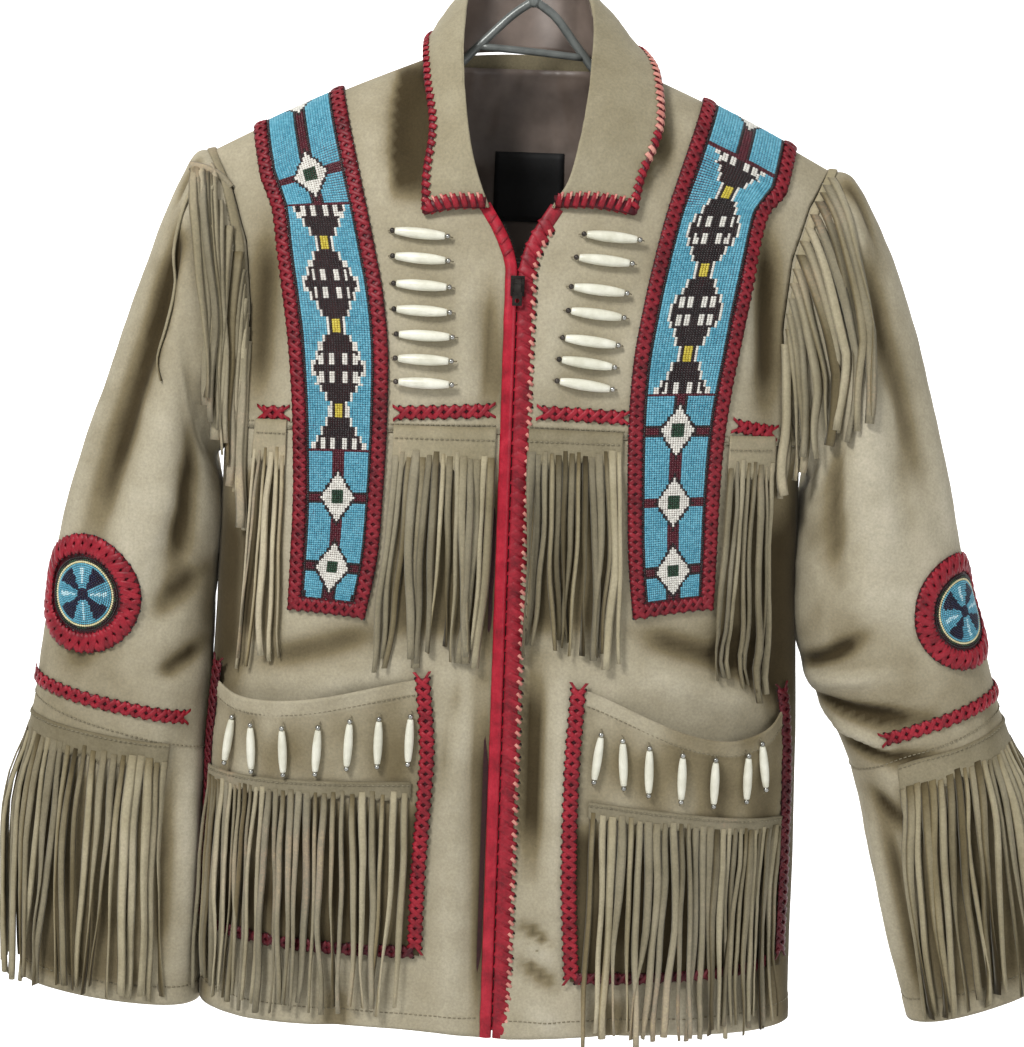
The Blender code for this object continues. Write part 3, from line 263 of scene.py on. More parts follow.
# ---------------------------------------------------------------- sleeves
# outer x, outer z, inner x, inner z, half depth, middle y
SLEEVE_RINGS = {
    -1: (
        (252.0, -217.0, 234.0, -451.0, 60.0, 0.0), (273.0, -262.0, 235.5, -466.0, 63.0, -1.0),
        (292.0, -322.0, 234.0, -492.0, 63.0, -3.0), (312.0, -382.0, 232.5, -518.0, 61.0, -4.0),
        (335.0, -452.0, 233.0, -548.0, 59.0, -5.0), (352.0, -520.0, 234.5, -580.0, 57.0, -6.0),
        (362.0, -580.0, 236.5, -616.0, 55.0, -7.0), (369.0, -632.0, 240.0, -656.0, 52.0, -8.0),
        (375.0, -690.0, 243.0, -708.0, 49.0, -9.0), (378.0, -750.0, 244.0, -766.0, 45.0, -10.0),
        (379.0, -812.0, 244.5, -828.0, 41.0, -11.0), (379.0, -866.0, 245.0, -884.0, 37.0, -12.0)),
    1: (
        (256.0, -216.0, 234.0, -451.0, 60.0, 0.0), (281.0, -262.0, 235.5, -466.0, 63.0, -1.0),
        (302.0, -318.0, 234.0, -490.0, 63.0, -3.0), (321.0, -376.0, 232.5, -516.0, 61.0, -4.0),
        (338.0, -436.0, 232.5, -543.0, 59.0, -5.0), (354.0, -500.0, 234.5, -575.0, 57.0, -6.0),
        (370.0, -556.0, 240.0, -610.0, 56.0, -7.0), (385.0, -606.0, 267.0, -652.0, 53.0, -8.0),
        (400.0, -652.0, 284.0, -697.0, 50.0, -9.0), (415.0, -708.0, 297.0, -750.0, 46.0, -10.0),
        (431.0, -772.0, 313.0, -812.0, 42.0, -11.0), (446.0, -838.0, 334.0, -880.0, 38.0, -12.0)),
}
SLEEVE_OFF = 0.5
# ring angle in degrees and ring number at each end, half width, height
SLEEVE_CREASES = {
    -1: (
        (60.0, 1.2, 66.0, 5.6, 11.0, -6.5), (62.0, 1.0, 60.0, 3.2, 12.0, -6.0), (96.0, 2.0, 92.0, 6.4, 14.0, 4.0), (132.0, 1.6, 120.0, 5.4, 12.0, -6.5),
        (30.0, 2.2, 34.0, 6.6, 15.0, 3.4), (150.0, 4.6, 108.0, 6.2, 10.0, -5.0), (160.0, 6.3, 118.0, 7.2, 9.0, -5.0),
        (84.0, 6.6, 60.0, 7.4, 11.0, -3.4), (140.0, 8.2, 132.0, 11.6, 10.0, -4.6), (158.0, 8.6, 156.0, 11.8, 9.0, 3.6),
        (20.0, 0.4, 34.0, 1.6, 7.0, -3.6), (-14.0, 0.4, -20.0, 1.8, 8.0, -3.6), (48.0, 0.3, 56.0, 1.4, 6.0, 3.0),
        (44.0, 2.4, 50.0, 6.0, 10.0, -3.0), (112.0, 3.4, 100.0, 5.2, 8.0, 2.6),
        (-70.0, 1.5, -80.0, 6.0, 15.0, -6.0), (-110.0, 2.0, -118.0, 8.0, 16.0, 5.0), (-140.0, 5.0, -95.0, 7.0, 11.0, -6.0),
        (-60.0, 7.6, -66.0, 11.6, 12.0, -4.6), (-120.0, 8.2, -112.0, 11.6, 12.0, -4.0)),
    1: (
        (60.0, 1.2, 66.0, 5.0, 13.0, -4.6), (92.0, 2.0, 90.0, 6.0, 14.0, 4.0), (128.0, 1.6, 124.0, 5.0, 12.0, -5.0),
        (178.0, 7.2, 92.0, 7.9, 8.0, -10.0), (172.0, 7.9, 84.0, 8.7, 8.0, -7.5), (178.0, 6.5, 112.0, 6.3, 9.0, -7.5),
        (172.0, 7.6, 110.0, 8.4, 6.0, 5.5), (168.0, 6.8, 100.0, 7.1, 6.5, 5.0), (150.0, 8.9, 116.0, 9.6, 8.0, -5.0),
        (112.0, 5.4, 70.0, 6.6, 11.0, 3.4), (76.0, 2.6, 60.0, 5.6, 9.0, 2.6),
        (140.0, 9.4, 138.0, 11.8, 9.0, -4.6), (160.0, 9.0, 160.0, 11.8, 8.0, 3.6), (28.0, 2.4, 34.0, 6.4, 15.0, 3.0),
        (22.0, 0.4, 36.0, 1.7, 7.0, -3.6), (-12.0, 0.4, -22.0, 1.7, 8.0, -3.6), (46.0, 0.3, 54.0, 1.4, 6.0, 3.0),
        (-70.0, 1.6, -76.0, 6.0, 15.0, -6.0), (-112.0, 2.2, -112.0, 7.0, 16.0, 5.0), (-176.0, 7.2, -108.0, 7.9, 9.0, -8.0),
        (-60.0, 8.2, -64.0, 11.6, 12.0, -4.6), (-120.0, 8.8, -112.0, 11.6, 12.0, -4.0)),
}


def ring_point(side, ring, phi):
    c, s = math.cos(phi), math.sin(phi)
    if ring == 0:
        face = -1 if s >= 0 else 1
        q = (1.0 - c) / 2.0
        z = lerp(TIP_Z, UNDERARM_Z, q)
        x = arm_x(z, face)
        low = max((q - 0.8) / 0.2, 0.0)
        x, z = x + SLEEVE_OFF * (1.0 - low), z + SLEEVE_OFF * low
        if q < 1e-6:
            z = shoulder_z(x, face)
        w = table(BODY, z, 1)
        p, n = skin(side * min(x, w), z, face)
        if q > 1.0 - 1e-6:
            p = Vector((side * w, 0.0, z))
        return p
    ox, oz, ix, iz, hd, yc = SLEEVE_RINGS[side][ring - 1]
    e = 2.0 / 2.2
    cc = math.copysign(abs(c) ** e, c)
    ss = math.copysign(abs(s) ** e, s)
    cx, cz = (ox + ix) / 2, (oz + iz) / 2
    hx, hz = (ox - ix) / 2, (oz - iz) / 2
    return Vector((side * (cx + hx * cc), yc - hd * ss, cz + hz * cc))


def sleeve(side, phi, v):
    n = len(SLEEVE_RINGS[side])
    i = int(min(max(math.floor(v), 0), n - 1))
    q = v - i
    p = [ring_point(side, min(max(i + d, 0), n), phi) for d in (-1, 0, 1, 2)]
    m1, m2 = (p[2] - p[0]) * 0.5, (p[3] - p[1]) * 0.5
    if i == 0:
        m1 = p[2] - p[1]
    q2, q3 = q * q, q * q * q
    return p[1] * (2 * q3 - 3 * q2 + 1) + m1 * (q3 - 2 * q2 + q) + p[2] * (-2 * q3 + 3 * q2) + m2 * (q3 - q2)


def sleeve_disp(side, phi, v):
    deg = math.degrees(phi)
    deg = (deg + 180.0) % 360.0 - 180.0
    d = 0.0
    for a0, v0, a1, v1, w, h in SLEEVE_CREASES[side]:
        for wrap in (0.0, 360.0, -360.0):
            x, z = deg + wrap, v * 52.0
            xs = 1.02
            vx, vz = (a1 - a0) * xs, (v1 - v0) * 52.0
            L2 = vx * vx + vz * vz
            q = ((x - a0) * xs * vx + (z - v0 * 52.0) * vz) / L2
            if q < -0.3 or q > 1.3:
                continue
            qc = min(max(q, 0.0), 1.0)
            dx, dz = (x - a0) * xs - vx * qc, z - v0 * 52.0 - vz * qc
            r2 = (dx * dx + dz * dz) / (w * w)
            if r2 < 9.0:
                d += h * math.exp(-r2) * (0.25 + 0.75 * smooth(-0.02, 0.3, q) * smooth(1.02, 0.7, q))
    cx, cy = math.cos(phi), math.sin(phi)
    d += 2.2 * noise.noise(Vector((cx * 1.1 + side * 7, cy * 1.1, v * 0.45)))
    d += 1.0 * noise.noise(Vector((cx * 2.6 + side * 7, cy * 2.6, v * 1.3 + 9)))
    d += 0.35 * noise.noise(Vector((cx * 7 + side * 7, cy * 7, v * 4.2 + 2)))
    d *= smooth(0.0, 0.35, v) * (1.0 - 0.6 * smooth(11.4, 12.0, v))
    if side < 0:
        d += (5.0 * smooth(0.8, 2.6, v) + 3.0 * smooth(7.2, 8.8, v)) * math.exp(-((180.0 - abs(deg)) / 52.0) ** 2)
        d += 5.0 * smooth(0.45, 1.3, v) * smooth(4.6, 2.6, v) * math.exp(-((180.0 - abs(deg)) / 40.0) ** 2)
    else:
        d += 9.0 * smooth(0.45, 1.7, v) * smooth(7.0, 5.4, v) * math.exp(-((180.0 - abs(deg)) / 48.0) ** 2)
    return d


def sleeve_at(side, phi, v, out=0.0, flat=False):
    p = sleeve(side, phi, v)
    v2 = min(v, 11.96)
    a = sleeve(side, phi + 0.03, v2) - sleeve(side, phi - 0.03, v2)
    b = sleeve(side, phi, min(v2 + 0.03, 12.0)) - sleeve(side, phi, max(v2 - 0.03, 0.0))
    n = a.cross(b).normalized() * side
    d = 0.0 if flat else sleeve_disp(side, phi, v)
    return p + n * (out + d), n


# ---------------------------------------------------------------- mesh helpers
class Mesh:
    def __init__(self):
        self.v, self.f, self.m, self.painted_shade_and_tone = [], [], [], []

    def add(self, verts, faces, mat=0, painted_shade_and_tone=None):
        k = len(self.v)
        self.v += verts
        self.painted_shade_and_tone += [0.5] * len(verts) if painted_shade_and_tone is None else painted_shade_and_tone
        self.f += [tuple(k + i for i in f) for f in faces]
        self.m += [mat] * len(faces)

    def build(self, name, mats, smooth_faces=True):
        me = bpy.data.meshes.new(name)
        me.from_pydata([(p[0] * 0.001, p[1] * 0.001, p[2] * 0.001) for p in self.v], [], self.f)
        for m in mats:
            me.materials.append(m)
        me.polygons.foreach_set("material_index", self.m)
        me.polygons.foreach_set("use_smooth", [smooth_faces] * len(self.f))
        me.update()
        me.attributes.new("painted_shade_and_tone", "FLOAT", "POINT").data.foreach_set("value", self.painted_shade_and_tone)
        ob = bpy.data.objects.new(name, me)
        bpy.context.scene.collection.objects.link(ob)
        return ob


def grid_faces(rows, cols, ring=False, flip=False):
    f = []
    for i in range(rows - 1):
        for j in range(cols if ring else cols - 1):
            k = (j + 1) % cols
            q = (i * cols + j, i * cols + k, (i + 1) * cols + k, (i + 1) * cols + j)
            f.append(q[::-1] if flip else q)
    return f


def shell(mesh, pts, nrm, rows, cols, thick, flip, ring=False, mat=0, mat_in=None, painted_shade_and_tone=None):
    # thin closed wall under the points
    k = rows * cols
    top, low = list(pts), [p - n * thick for p, n in zip(pts, nrm)]
    f = grid_faces(rows, cols, ring, flip)
    mesh.add(top + low, f, mat, None if painted_shade_and_tone is None else painted_shade_and_tone + painted_shade_and_tone)
    base = len(mesh.v) - 2 * k
    inner = [tuple(base + k + i for i in q[::-1]) for q in f]
    mesh.f += inner
    mesh.m += [mat if mat_in is None else mat_in] * len(inner)
    edge = []
    if not ring:
        for i in range(rows - 1):
            edge.append((i * cols, (i + 1) * cols))
            edge.append(((i + 1) * cols + cols - 1, i * cols + cols - 1))
    for j in range(cols if ring else cols - 1):
        m = (j + 1) % cols
        edge.append((m, j))
        edge.append(((rows - 1) * cols + j, (rows - 1) * cols + m))
    for a, b in edge:
        q = (base + a, base + b, base + k + b, base + k + a)
        mesh.f.append(q[::-1] if flip else q)
        mesh.m.append(mat)


class Path:
    """a run of points with normals, read by its length in mm"""

    def __init__(self, pts, nrm):
        self.p, self.n = pts, nrm
        self.s = [0.0]
        for a, b in zip(pts, pts[1:]):
            self.s.append(self.s[-1] + (b - a).length)
        self.length = self.s[-1]

    def at(self, s):
        s = min(max(s, 0.0), self.length)
        lo, hi = 0, len(self.s) - 1
        while hi - lo > 1:
            mid = (lo + hi) // 2
            if self.s[mid] <= s:
                lo = mid
            else:
                hi = mid
        q = (s - self.s[lo]) / max(self.s[hi] - self.s[lo], 1e-9)
        p = self.p[lo].lerp(self.p[hi], q)
        n = self.n[lo].lerp(self.n[hi], q).normalized()
        a, b = self.p[max(lo - 1, 0)], self.p[min(hi + 1, len(self.p) - 1)]
        t = (b - a).normalized()
        n = (n - t * n.dot(t)).normalized()
        return p, n, t, n.cross(t)


def ribbon(mesh, centre, width, height, mat=0, round_top=True):
    # centre: rows of (point, across, normal); a soft flat strip with closed ends
    prof = ((-0.5, 0.0), (-0.42, 0.75), (-0.15, 1.0), (0.15, 1.0), (0.42, 0.75), (0.5, 0.0)) if round_top else \
        ((-0.5, 0.0), (-0.47, 1.0), (0.47, 1.0), (0.5, 0.0))
    n = len(prof)
    v = []
    for p, a, u in centre:
        v += [p + a * (x * width) + u * (y * height) for x, y in prof]
    f = []
    for i in range(len(centre) - 1):
        for j in range(n):
            k = (j + 1) % n
            f.append((i * n + j, (i + 1) * n + j, (i + 1) * n + k, i * n + k))
    f.append(tuple(range(n)))
    f.append(tuple((len(centre) - 1) * n + j for j in reversed(range(n))))
    mesh.add(v, f, mat)


def lace(mesh, path, w, pitch, s0=0.0, s1=None, width=3.3, rise=1.5, mat=0, seed=1, base_mat=None, base=True, hole=None, ends=False):
    # cross lacing along a path: two slanting runs that cross over each other
    rnd = random.Random(seed)
    s1 = path.length if s1 is None else s1
    if base:
        rows = []
        k = max(int((s1 - s0) / 7.0), 2)
        for i in range(k + 1):
            p, n, t, a = path.at(lerp(s0, s1, i / k))
            rows.append((p, a, n))
        ribbon(mesh, rows, w * 2 * 0.94, 0.7, mat if base_mat is None else base_mat, False)
    cnt = max(int(round((s1 - s0) / pitch)), 1)
    pitch = (s1 - s0) / cnt
    # dark domes at the punched holes beside the lacing are painted shade
    if hole is not None:
        for k in range(cnt + 1):
            for way in (-1, 1):
                p, n, t, a = path.at(s0 + pitch * k + rnd.uniform(-0.4, 0.4))
                bead_dome(mesh, p + a * (way * (w + 0.2)) + n * 0.3, a, t, n, 1.15, 1.5, 0.35, hole, 6)
    if ends:
        # the loose ends of the last cross
        for s_end, dr in ((s0, -1.0), (s1, 1.0)):
            for way in (-1, 1):
                p, n, t, a = path.at(s_end)
                rows = [(p + a * (way * w * 0.2) - t * (dr * 2.0) + n * 1.1, a, n), (p + a * (way * w * 0.75) + t * (dr * 2.0) + n * 0.9, a, n),
                        (p + a * (way * w * 1.15) + t * (dr * 5.0) + n * 0.4, a, n)]
                ribbon(mesh, rows, 2.6, 0.9, mat)
    for k in range(cnt):
        for way in (-1, 1):
            rows = []
            j0, j1 = rnd.uniform(-0.35, 0.35), rnd.uniform(-0.35, 0.35)
            wd = width * rnd.uniform(0.9, 1.1)
            for i in range(6):
                q = i / 5
                s = s0 + pitch * (k + lerp(0.0, 1.0, q)) + lerp(j0, j1, q)
                p, n, t, a = path.at(s)
                u = way * w * lerp(-1.0, 1.0, q) * 0.94
                p0, n0, t0, a0 = path.at(s)
                lift = 0.5 + rise * math.sin(math.pi * q) ** 0.7 * (1.0 if way > 0 else 0.62)
                dirn = (t * pitch + a * (way * w * 2)).normalized()
                rows.append((p + a * u + n * lift, n.cross(dirn).normalized(), n))
            ribbon(mesh, rows, wd, 1.1, mat)


def bead_dome(mesh, p, a, t, n, ra, rt, h, mat, sides=6):
    v = []
    for k in range(sides):
        c, s = math.cos(2 * math.pi * k / sides), math.sin(2 * math.pi * k / sides)
        v.append(p + a * (ra * c) + t * (rt * s))
    for k in range(sides):
        c, s = math.cos(2 * math.pi * k / sides), math.sin(2 * math.pi * k / sides)
        v.append(p + a * (ra * 0.74 * c) + t * (rt * 0.74 * s) + n * (h * 0.72))
    v.append(p + n * h)
    f = []
    for k in range(sides):
        m_ = (k + 1) % sides
        f.append((k, m_, sides + m_, sides + k))
        f.append((sides + k, sides + m_, 2 * sides))
    mesh.add(v, f, mat)


def whip(mesh, path, inner, outer, pitch, slant=2.0, width=3.0, s0=0.0, s1=None, mat=0, seed=2, wrap=0.0, mats=None):
    # slanting stitches from inside the edge, over it and down its side
    rnd = random.Random(seed)
    s1 = path.length if s1 is None else s1
    cnt = max(int((s1 - s0) / pitch), 1)
    for k in range(cnt):
        s = s0 + pitch * (k + 0.5) + rnd.uniform(-0.3, 0.3)
        rows = []
        for i in range(6):
            q = i / 5
            p, n, t, a = path.at(s + slant * (q - 0.5))
            u = lerp(inner, outer, q)
            drop = -wrap * max(q - 0.7, 0.0) / 0.3
            lift = 0.3 + 1.3 * math.sin(math.pi * min(q * 0.8 + 0.1, 1.0)) + drop
            dirn = (t * slant + a * (outer - inner)).normalized()
            rows.append((p + a * u + n * lift, n.cross(dirn).normalized(), n))
        m = mat if mats is None else mats[rnd.randrange(len(mats))]
        ribbon(mesh, rows, width * rnd.uniform(0.88, 1.1), 1.0, m)


def stitches(mesh, path, pitch=3.8, length=2.5, radius=0.34, s0=0.0, s1=None, mat=0, out=0.1):
    s1 = path.length if s1 is None else s1
    k = int((s1 - s0) / pitch)
    for i in range(k):
        s = s0 + (i + 0.5) * pitch
        rows = []
        for q in (0.0, 0.5, 1.0):
            p, n, t, a = path.at(s + (q - 0.5) * length)
            rows.append((p + n * (out - 0.25 + (0.3 if q == 0.5 else 0.0)), a, n))
        ribbon(mesh, rows, radius * 2.2, radius * 2, mat, False)


def tree_of(obs):
    v, f = [], []
    for o in obs:
        k = len(v)
        v += [x.co * 1000.0 for x in o.data.vertices]
        f += [[k + i for i in p.vertices] for p in o.data.polygons]
    return BVHTree.FromPolygons(v, f)


# ---------------------------------------------------------------- materials
def srgb(r, g, b):
    def c(u):
        u /= 255.0
        return u / 12.92 if u <= 0.04045 else ((u + 0.055) / 1.055) ** 2.4
    return (c(r), c(g), c(b), 1.0)


class Nodes:
    def __init__(self, name):
        self.m = bpy.data.materials.new(name)
        self.m.use_nodes = True
        self.t = self.m.node_tree
        self.b = self.t.nodes["Principled BSDF"]
        self.co = self.t.nodes.new("ShaderNodeTexCoord").outputs["Object"]

    def noise(self, scale, detail=4.0, rough=0.55, stretch=None):
        n = self.t.nodes.new("ShaderNodeTexNoise")
        n.inputs["Scale"].default_value = scale
        n.inputs["Detail"].default_value = detail
        n.inputs["Roughness"].default_value = rough
        co = self.co
        if stretch:
            mp = self.t.nodes.new("ShaderNodeMapping")
            mp.inputs["Scale"].default_value = stretch
            self.t.links.new(co, mp.inputs["Vector"])
            co = mp.outputs["Vector"]
        self.t.links.new(co, n.inputs["Vector"])
        return n.outputs["Fac"]

    def ramp(self, fac, stops):
        r = self.t.nodes.new("ShaderNodeValToRGB")
        el = r.color_ramp.elements
        while len(el) < len(stops):
            el.new(0.5)
        for e, (pos, col) in zip(el, stops):
            e.position = pos
            e.color = col
        self.t.links.new(fac, r.inputs["Fac"])
        return r.outputs["Color"]

    def mix(self, a, b, fac, how="MIX"):
        n = self.t.nodes.new("ShaderNodeMix")
        n.data_type = "RGBA"
        n.blend_type = how
        for sock, val in ((6, a), (7, b)):
            if isinstance(val, tuple):
                n.inputs[sock].default_value = val
            else:
                self.t.links.new(val, n.inputs[sock])
        if isinstance(fac, float):
            n.inputs[0].default_value = fac
        else:
            self.t.links.new(fac, n.inputs[0])
        return n.outputs[2]

    def math(self, op, a, b):
        n = self.t.nodes.new("ShaderNodeMath")
        n.operation = op
        for i, val in enumerate((a, b)):
            if isinstance(val, float):
                n.inputs[i].default_value = val
            else:
                self.t.links.new(val, n.inputs[i])
        return n.outputs[0]

    def colour(self, c):
        self.t.links.new(c, self.b.inputs["Base Color"])

    def bump(self, heights, strength, distance):
        h = heights[0]
        for x in heights[1:]:
            h = self.math("ADD", h, x)
        n = self.t.nodes.new("ShaderNodeBump")
        n.inputs["Strength"].default_value = strength
        n.inputs["Distance"].default_value = distance
        self.t.links.new(h, n.inputs["Height"])
        self.t.links.new(n.outputs["Normal"], self.b.inputs["Normal"])

    def set(self, **kw):
        for k, v in kw.items():
            self.b.inputs[k.replace("_", " ")].default_value = v


def suede(name, dark, mid, light, island=False, streak=None):
    k = Nodes(name)
    big = k.noise(7.0, 3.0, 0.5, streak)
    small = k.noise(46.0, 4.0, 0.6)
    fine = k.noise(520.0, 3.0, 0.6)
    base = k.ramp(big, ((0.26, dark), (0.5, mid), (0.72, light)))
    base = k.mix(base, k.ramp(small, ((0.3, dark), (0.72, light))), 0.3)
    base = k.mix(base, k.ramp(fine, ((0.3, srgb(96, 90, 76)), (0.7, srgb(200, 194, 180)))), 0.24, "OVERLAY")
    if island:
        g = k.t.nodes.new("ShaderNodeNewGeometry").outputs["Random Per Island"]
        base = k.mix(base, k.ramp(g, ((0.0, srgb(84, 78, 62)), (0.5, srgb(132, 126, 110)), (1.0, srgb(184, 179, 165)))), 0.6, "OVERLAY")
    # painted shade: the mesh's shade attribute darkens the colour in creases, under fringes and on shaded sides; on
    # fringe strands it also carries their random tone
    at = k.t.nodes.new("ShaderNodeAttribute")
    at.attribute_name = "painted_shade_and_tone"
    shade = k.ramp(at.outputs["Fac"], ((0.0, srgb(98, 88, 68)), (0.28, srgb(184, 176, 156)), (0.5, srgb(238, 236, 229)), (0.8, srgb(255, 255, 253))))
    base = k.mix(base, shade, 1.0, "MULTIPLY")
    k.colour(base)
    k.set(Roughness=0.93, Sheen_Weight=0.16, Sheen_Roughness=0.45)
    k.b.inputs["Sheen Tint"].default_value = srgb(226, 222, 208)
    k.b.inputs["Specular IOR Level"].default_value = 0.18
    k.bump([k.noise(900.0, 3.0, 0.7), k.math("MULTIPLY", k.noise(150.0, 3.0, 0.6), 1.6)], 0.35, 0.0005)
    return k.m


def red_leather(name, dark, mid, light, rough=0.5):
    k = Nodes(name)
    k.colour(k.mix(k.ramp(k.noise(85.0, 4.0, 0.6), ((0.3, dark), (0.5, mid), (0.74, light))),
                   k.ramp(k.noise(600.0, 2.0), ((0.35, dark), (0.65, light))), 0.2))
    k.set(Roughness=rough)
    k.b.inputs["Specular IOR Level"].default_value = 0.35
    k.bump([k.noise(700.0, 3.0, 0.7)], 0.3, 0.0004)
    return k.m


def glass_bead(name, dark, light, rough=0.3):
    k = Nodes(name)
    g = k.t.nodes.new("ShaderNodeNewGeometry").outputs["Random Per Island"]
    k.colour(k.mix(k.ramp(g, ((0.0, dark), (1.0, light))), k.ramp(k.noise(60.0), ((0.3, dark), (0.7, light))), 0.35))
    k.set(Roughness=rough)
    k.b.inputs["Specular IOR Level"].default_value = 0.5
    return k.m


def plain(name, dark, light, scale, rough, metal=0.0, bump=0.2, stretch=None):
    k = Nodes(name)
    k.colour(k.ramp(k.noise(scale, 4.0, 0.6, stretch), ((0.3, dark), (0.7, light))))
    k.set(Roughness=rough, Metallic=metal)
    k.bump([k.noise(scale * 9, 3.0, 0.6, stretch)], bump, 0.0003)
    return k.m


M_SUEDE = suede("suede_main", srgb(150, 142, 121), srgb(181, 174, 155), srgb(199, 193, 176))
M_SUEDE_IN = suede("suede_flesh", srgb(110, 102, 80), srgb(136, 128, 106), srgb(156, 148, 126))
M_FRINGE = suede("suede_fringe", srgb(146, 139, 118), srgb(184, 178, 158), srgb(208, 203, 187), True)
M_COLLAR = suede("suede_collar", srgb(142, 134, 111), srgb(168, 161, 140), srgb(188, 182, 163))
M_RED = red_leather("red_leather", srgb(92, 8, 20), srgb(138, 16, 34), srgb(170, 36, 52))
M_RED_DARK = red_leather("red_leather_dark", srgb(48, 6, 14), srgb(78, 10, 22), srgb(104, 20, 32))
# pale red for the painted highlights on the thongs
M_RED_HIGHLIGHT = red_leather("red_leather_painted_highlight", srgb(160, 82, 76), srgb(204, 132, 120), srgb(226, 168, 152))
M_RED_SMOOTH = red_leather("red_leather_smooth", srgb(120, 10, 26), srgb(160, 18, 40), srgb(190, 42, 60), 0.36)
M_RED_STRIP = red_leather("red_leather_strip", srgb(74, 8, 18), srgb(118, 16, 30), srgb(148, 32, 46))
M_TURQ = glass_bead("bead_turquoise", srgb(62, 138, 162), srgb(112, 182, 202))
M_BLACK = glass_bead("bead_black", srgb(14, 12, 14), srgb(42, 32, 32))
M_WHITE = glass_bead("bead_white", srgb(196, 194, 186), srgb(236, 234, 226))
M_MAROON = glass_bead("bead_maroon", srgb(58, 10, 22), srgb(92, 20, 36))
M_YELLOW = glass_bead("bead_yellow", srgb(180, 162, 40), srgb(214, 198, 84))
M_GREEN = glass_bead("bead_green", srgb(10, 38, 24), srgb(28, 72, 46))
M_NAVY = glass_bead("bead_navy", srgb(10, 16, 34), srgb(26, 36, 66))
M_CREAM = glass_bead("bead_cream", srgb(206, 196, 148), srgb(234, 226, 184))
M_PALE = glass_bead("bead_pale_blue", srgb(160, 208, 220), srgb(212, 234, 238))
M_BONE = plain("bone", srgb(206, 204, 184), srgb(236, 235, 220), 70.0, 0.32, 0.0, 0.15)
# a darker copy of the silver end bead: painted shade
M_SILVER_SHADED = plain("silver_end_bead_painted_shade", srgb(40, 36, 34), srgb(84, 78, 72), 90.0, 0.3, 0.6, 0.1)
M_SILVER = plain("silver_end_bead", srgb(130, 130, 126), srgb(196, 196, 190), 90.0, 0.25, 0.9, 0.1)
M_LINING = plain("satin_lining", srgb(92, 80, 72), srgb(126, 112, 103), 24.0, 0.42, 0.0, 0.25)
M_LABEL = plain("plain_label", srgb(8, 8, 9), srgb(16, 16, 18), 300.0, 0.7, 0.0, 0.3)
M_TAPE = plain("zip_tape", srgb(36, 12, 14), srgb(60, 22, 24), 500.0, 0.8, 0.0, 0.4)
M_METAL = plain("dark_metal", srgb(34, 30, 28), srgb(74, 70, 66), 120.0, 0.34, 0.85, 0.15)
M_HANGER = plain("hanger_grey", srgb(84, 88, 86), srgb(116, 120, 117), 60.0, 0.34, 0.2, 0.08)
M_THREAD = plain("thread", srgb(110, 102, 80), srgb(142, 134, 110), 500.0, 0.8, 0.0, 0.3)
# dark for the punched holes: painted shade
M_HOLE_SHADE = plain("punched_hole_painted_shade", srgb(24, 10, 10), srgb(38, 18, 16), 300.0, 0.9, 0.0, 0.1)

pieces_made = []


def done(ob, nodes=(), body="jacket"):
    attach(ob, body)
    if nodes:
        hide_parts(*nodes)
    pieces_made.append(ob)
    return ob


FINE = 1.0

# ---------------------------------------------------------------- yokes, fronts, back
WORD = {-1: "right", 1: "left"}


def yoke_point(side, u, v):
    zr = lerp(YOKE_Z_OUT + 0.15, TIP_Z - 0.002, v)
    xr = arm_x(zr, -1)
    zl = lerp(YOKE_Z_IN + 0.15, NECK_Z - 0.002, v)
    xl = table(FRONT_EDGE, zl, 1)
    hr, hl = shoulder_z(xr, -1) - zr, shoulder_z(xl, -1) - zl
    tl, tr = t_of(xl, zl), t_of(xr, zr)
    w = v * v * (3 - 2 * v)
    z = lerp(zl, zr, u)
    x = xl
    for _ in range(3):
        x = x_of(lerp(tl, tr, u), z)
        z = lerp(lerp(zl, zr, u), shoulder_z(x, -1) - lerp(hl, hr, u), w)
    if u <= 0.0:
        x, z = xl, zl
    elif u >= 1.0:
        x, z = xr, zr
    elif v >= 1.0:
        z = shoulder_z(x, -1) - 0.002
    return x, z


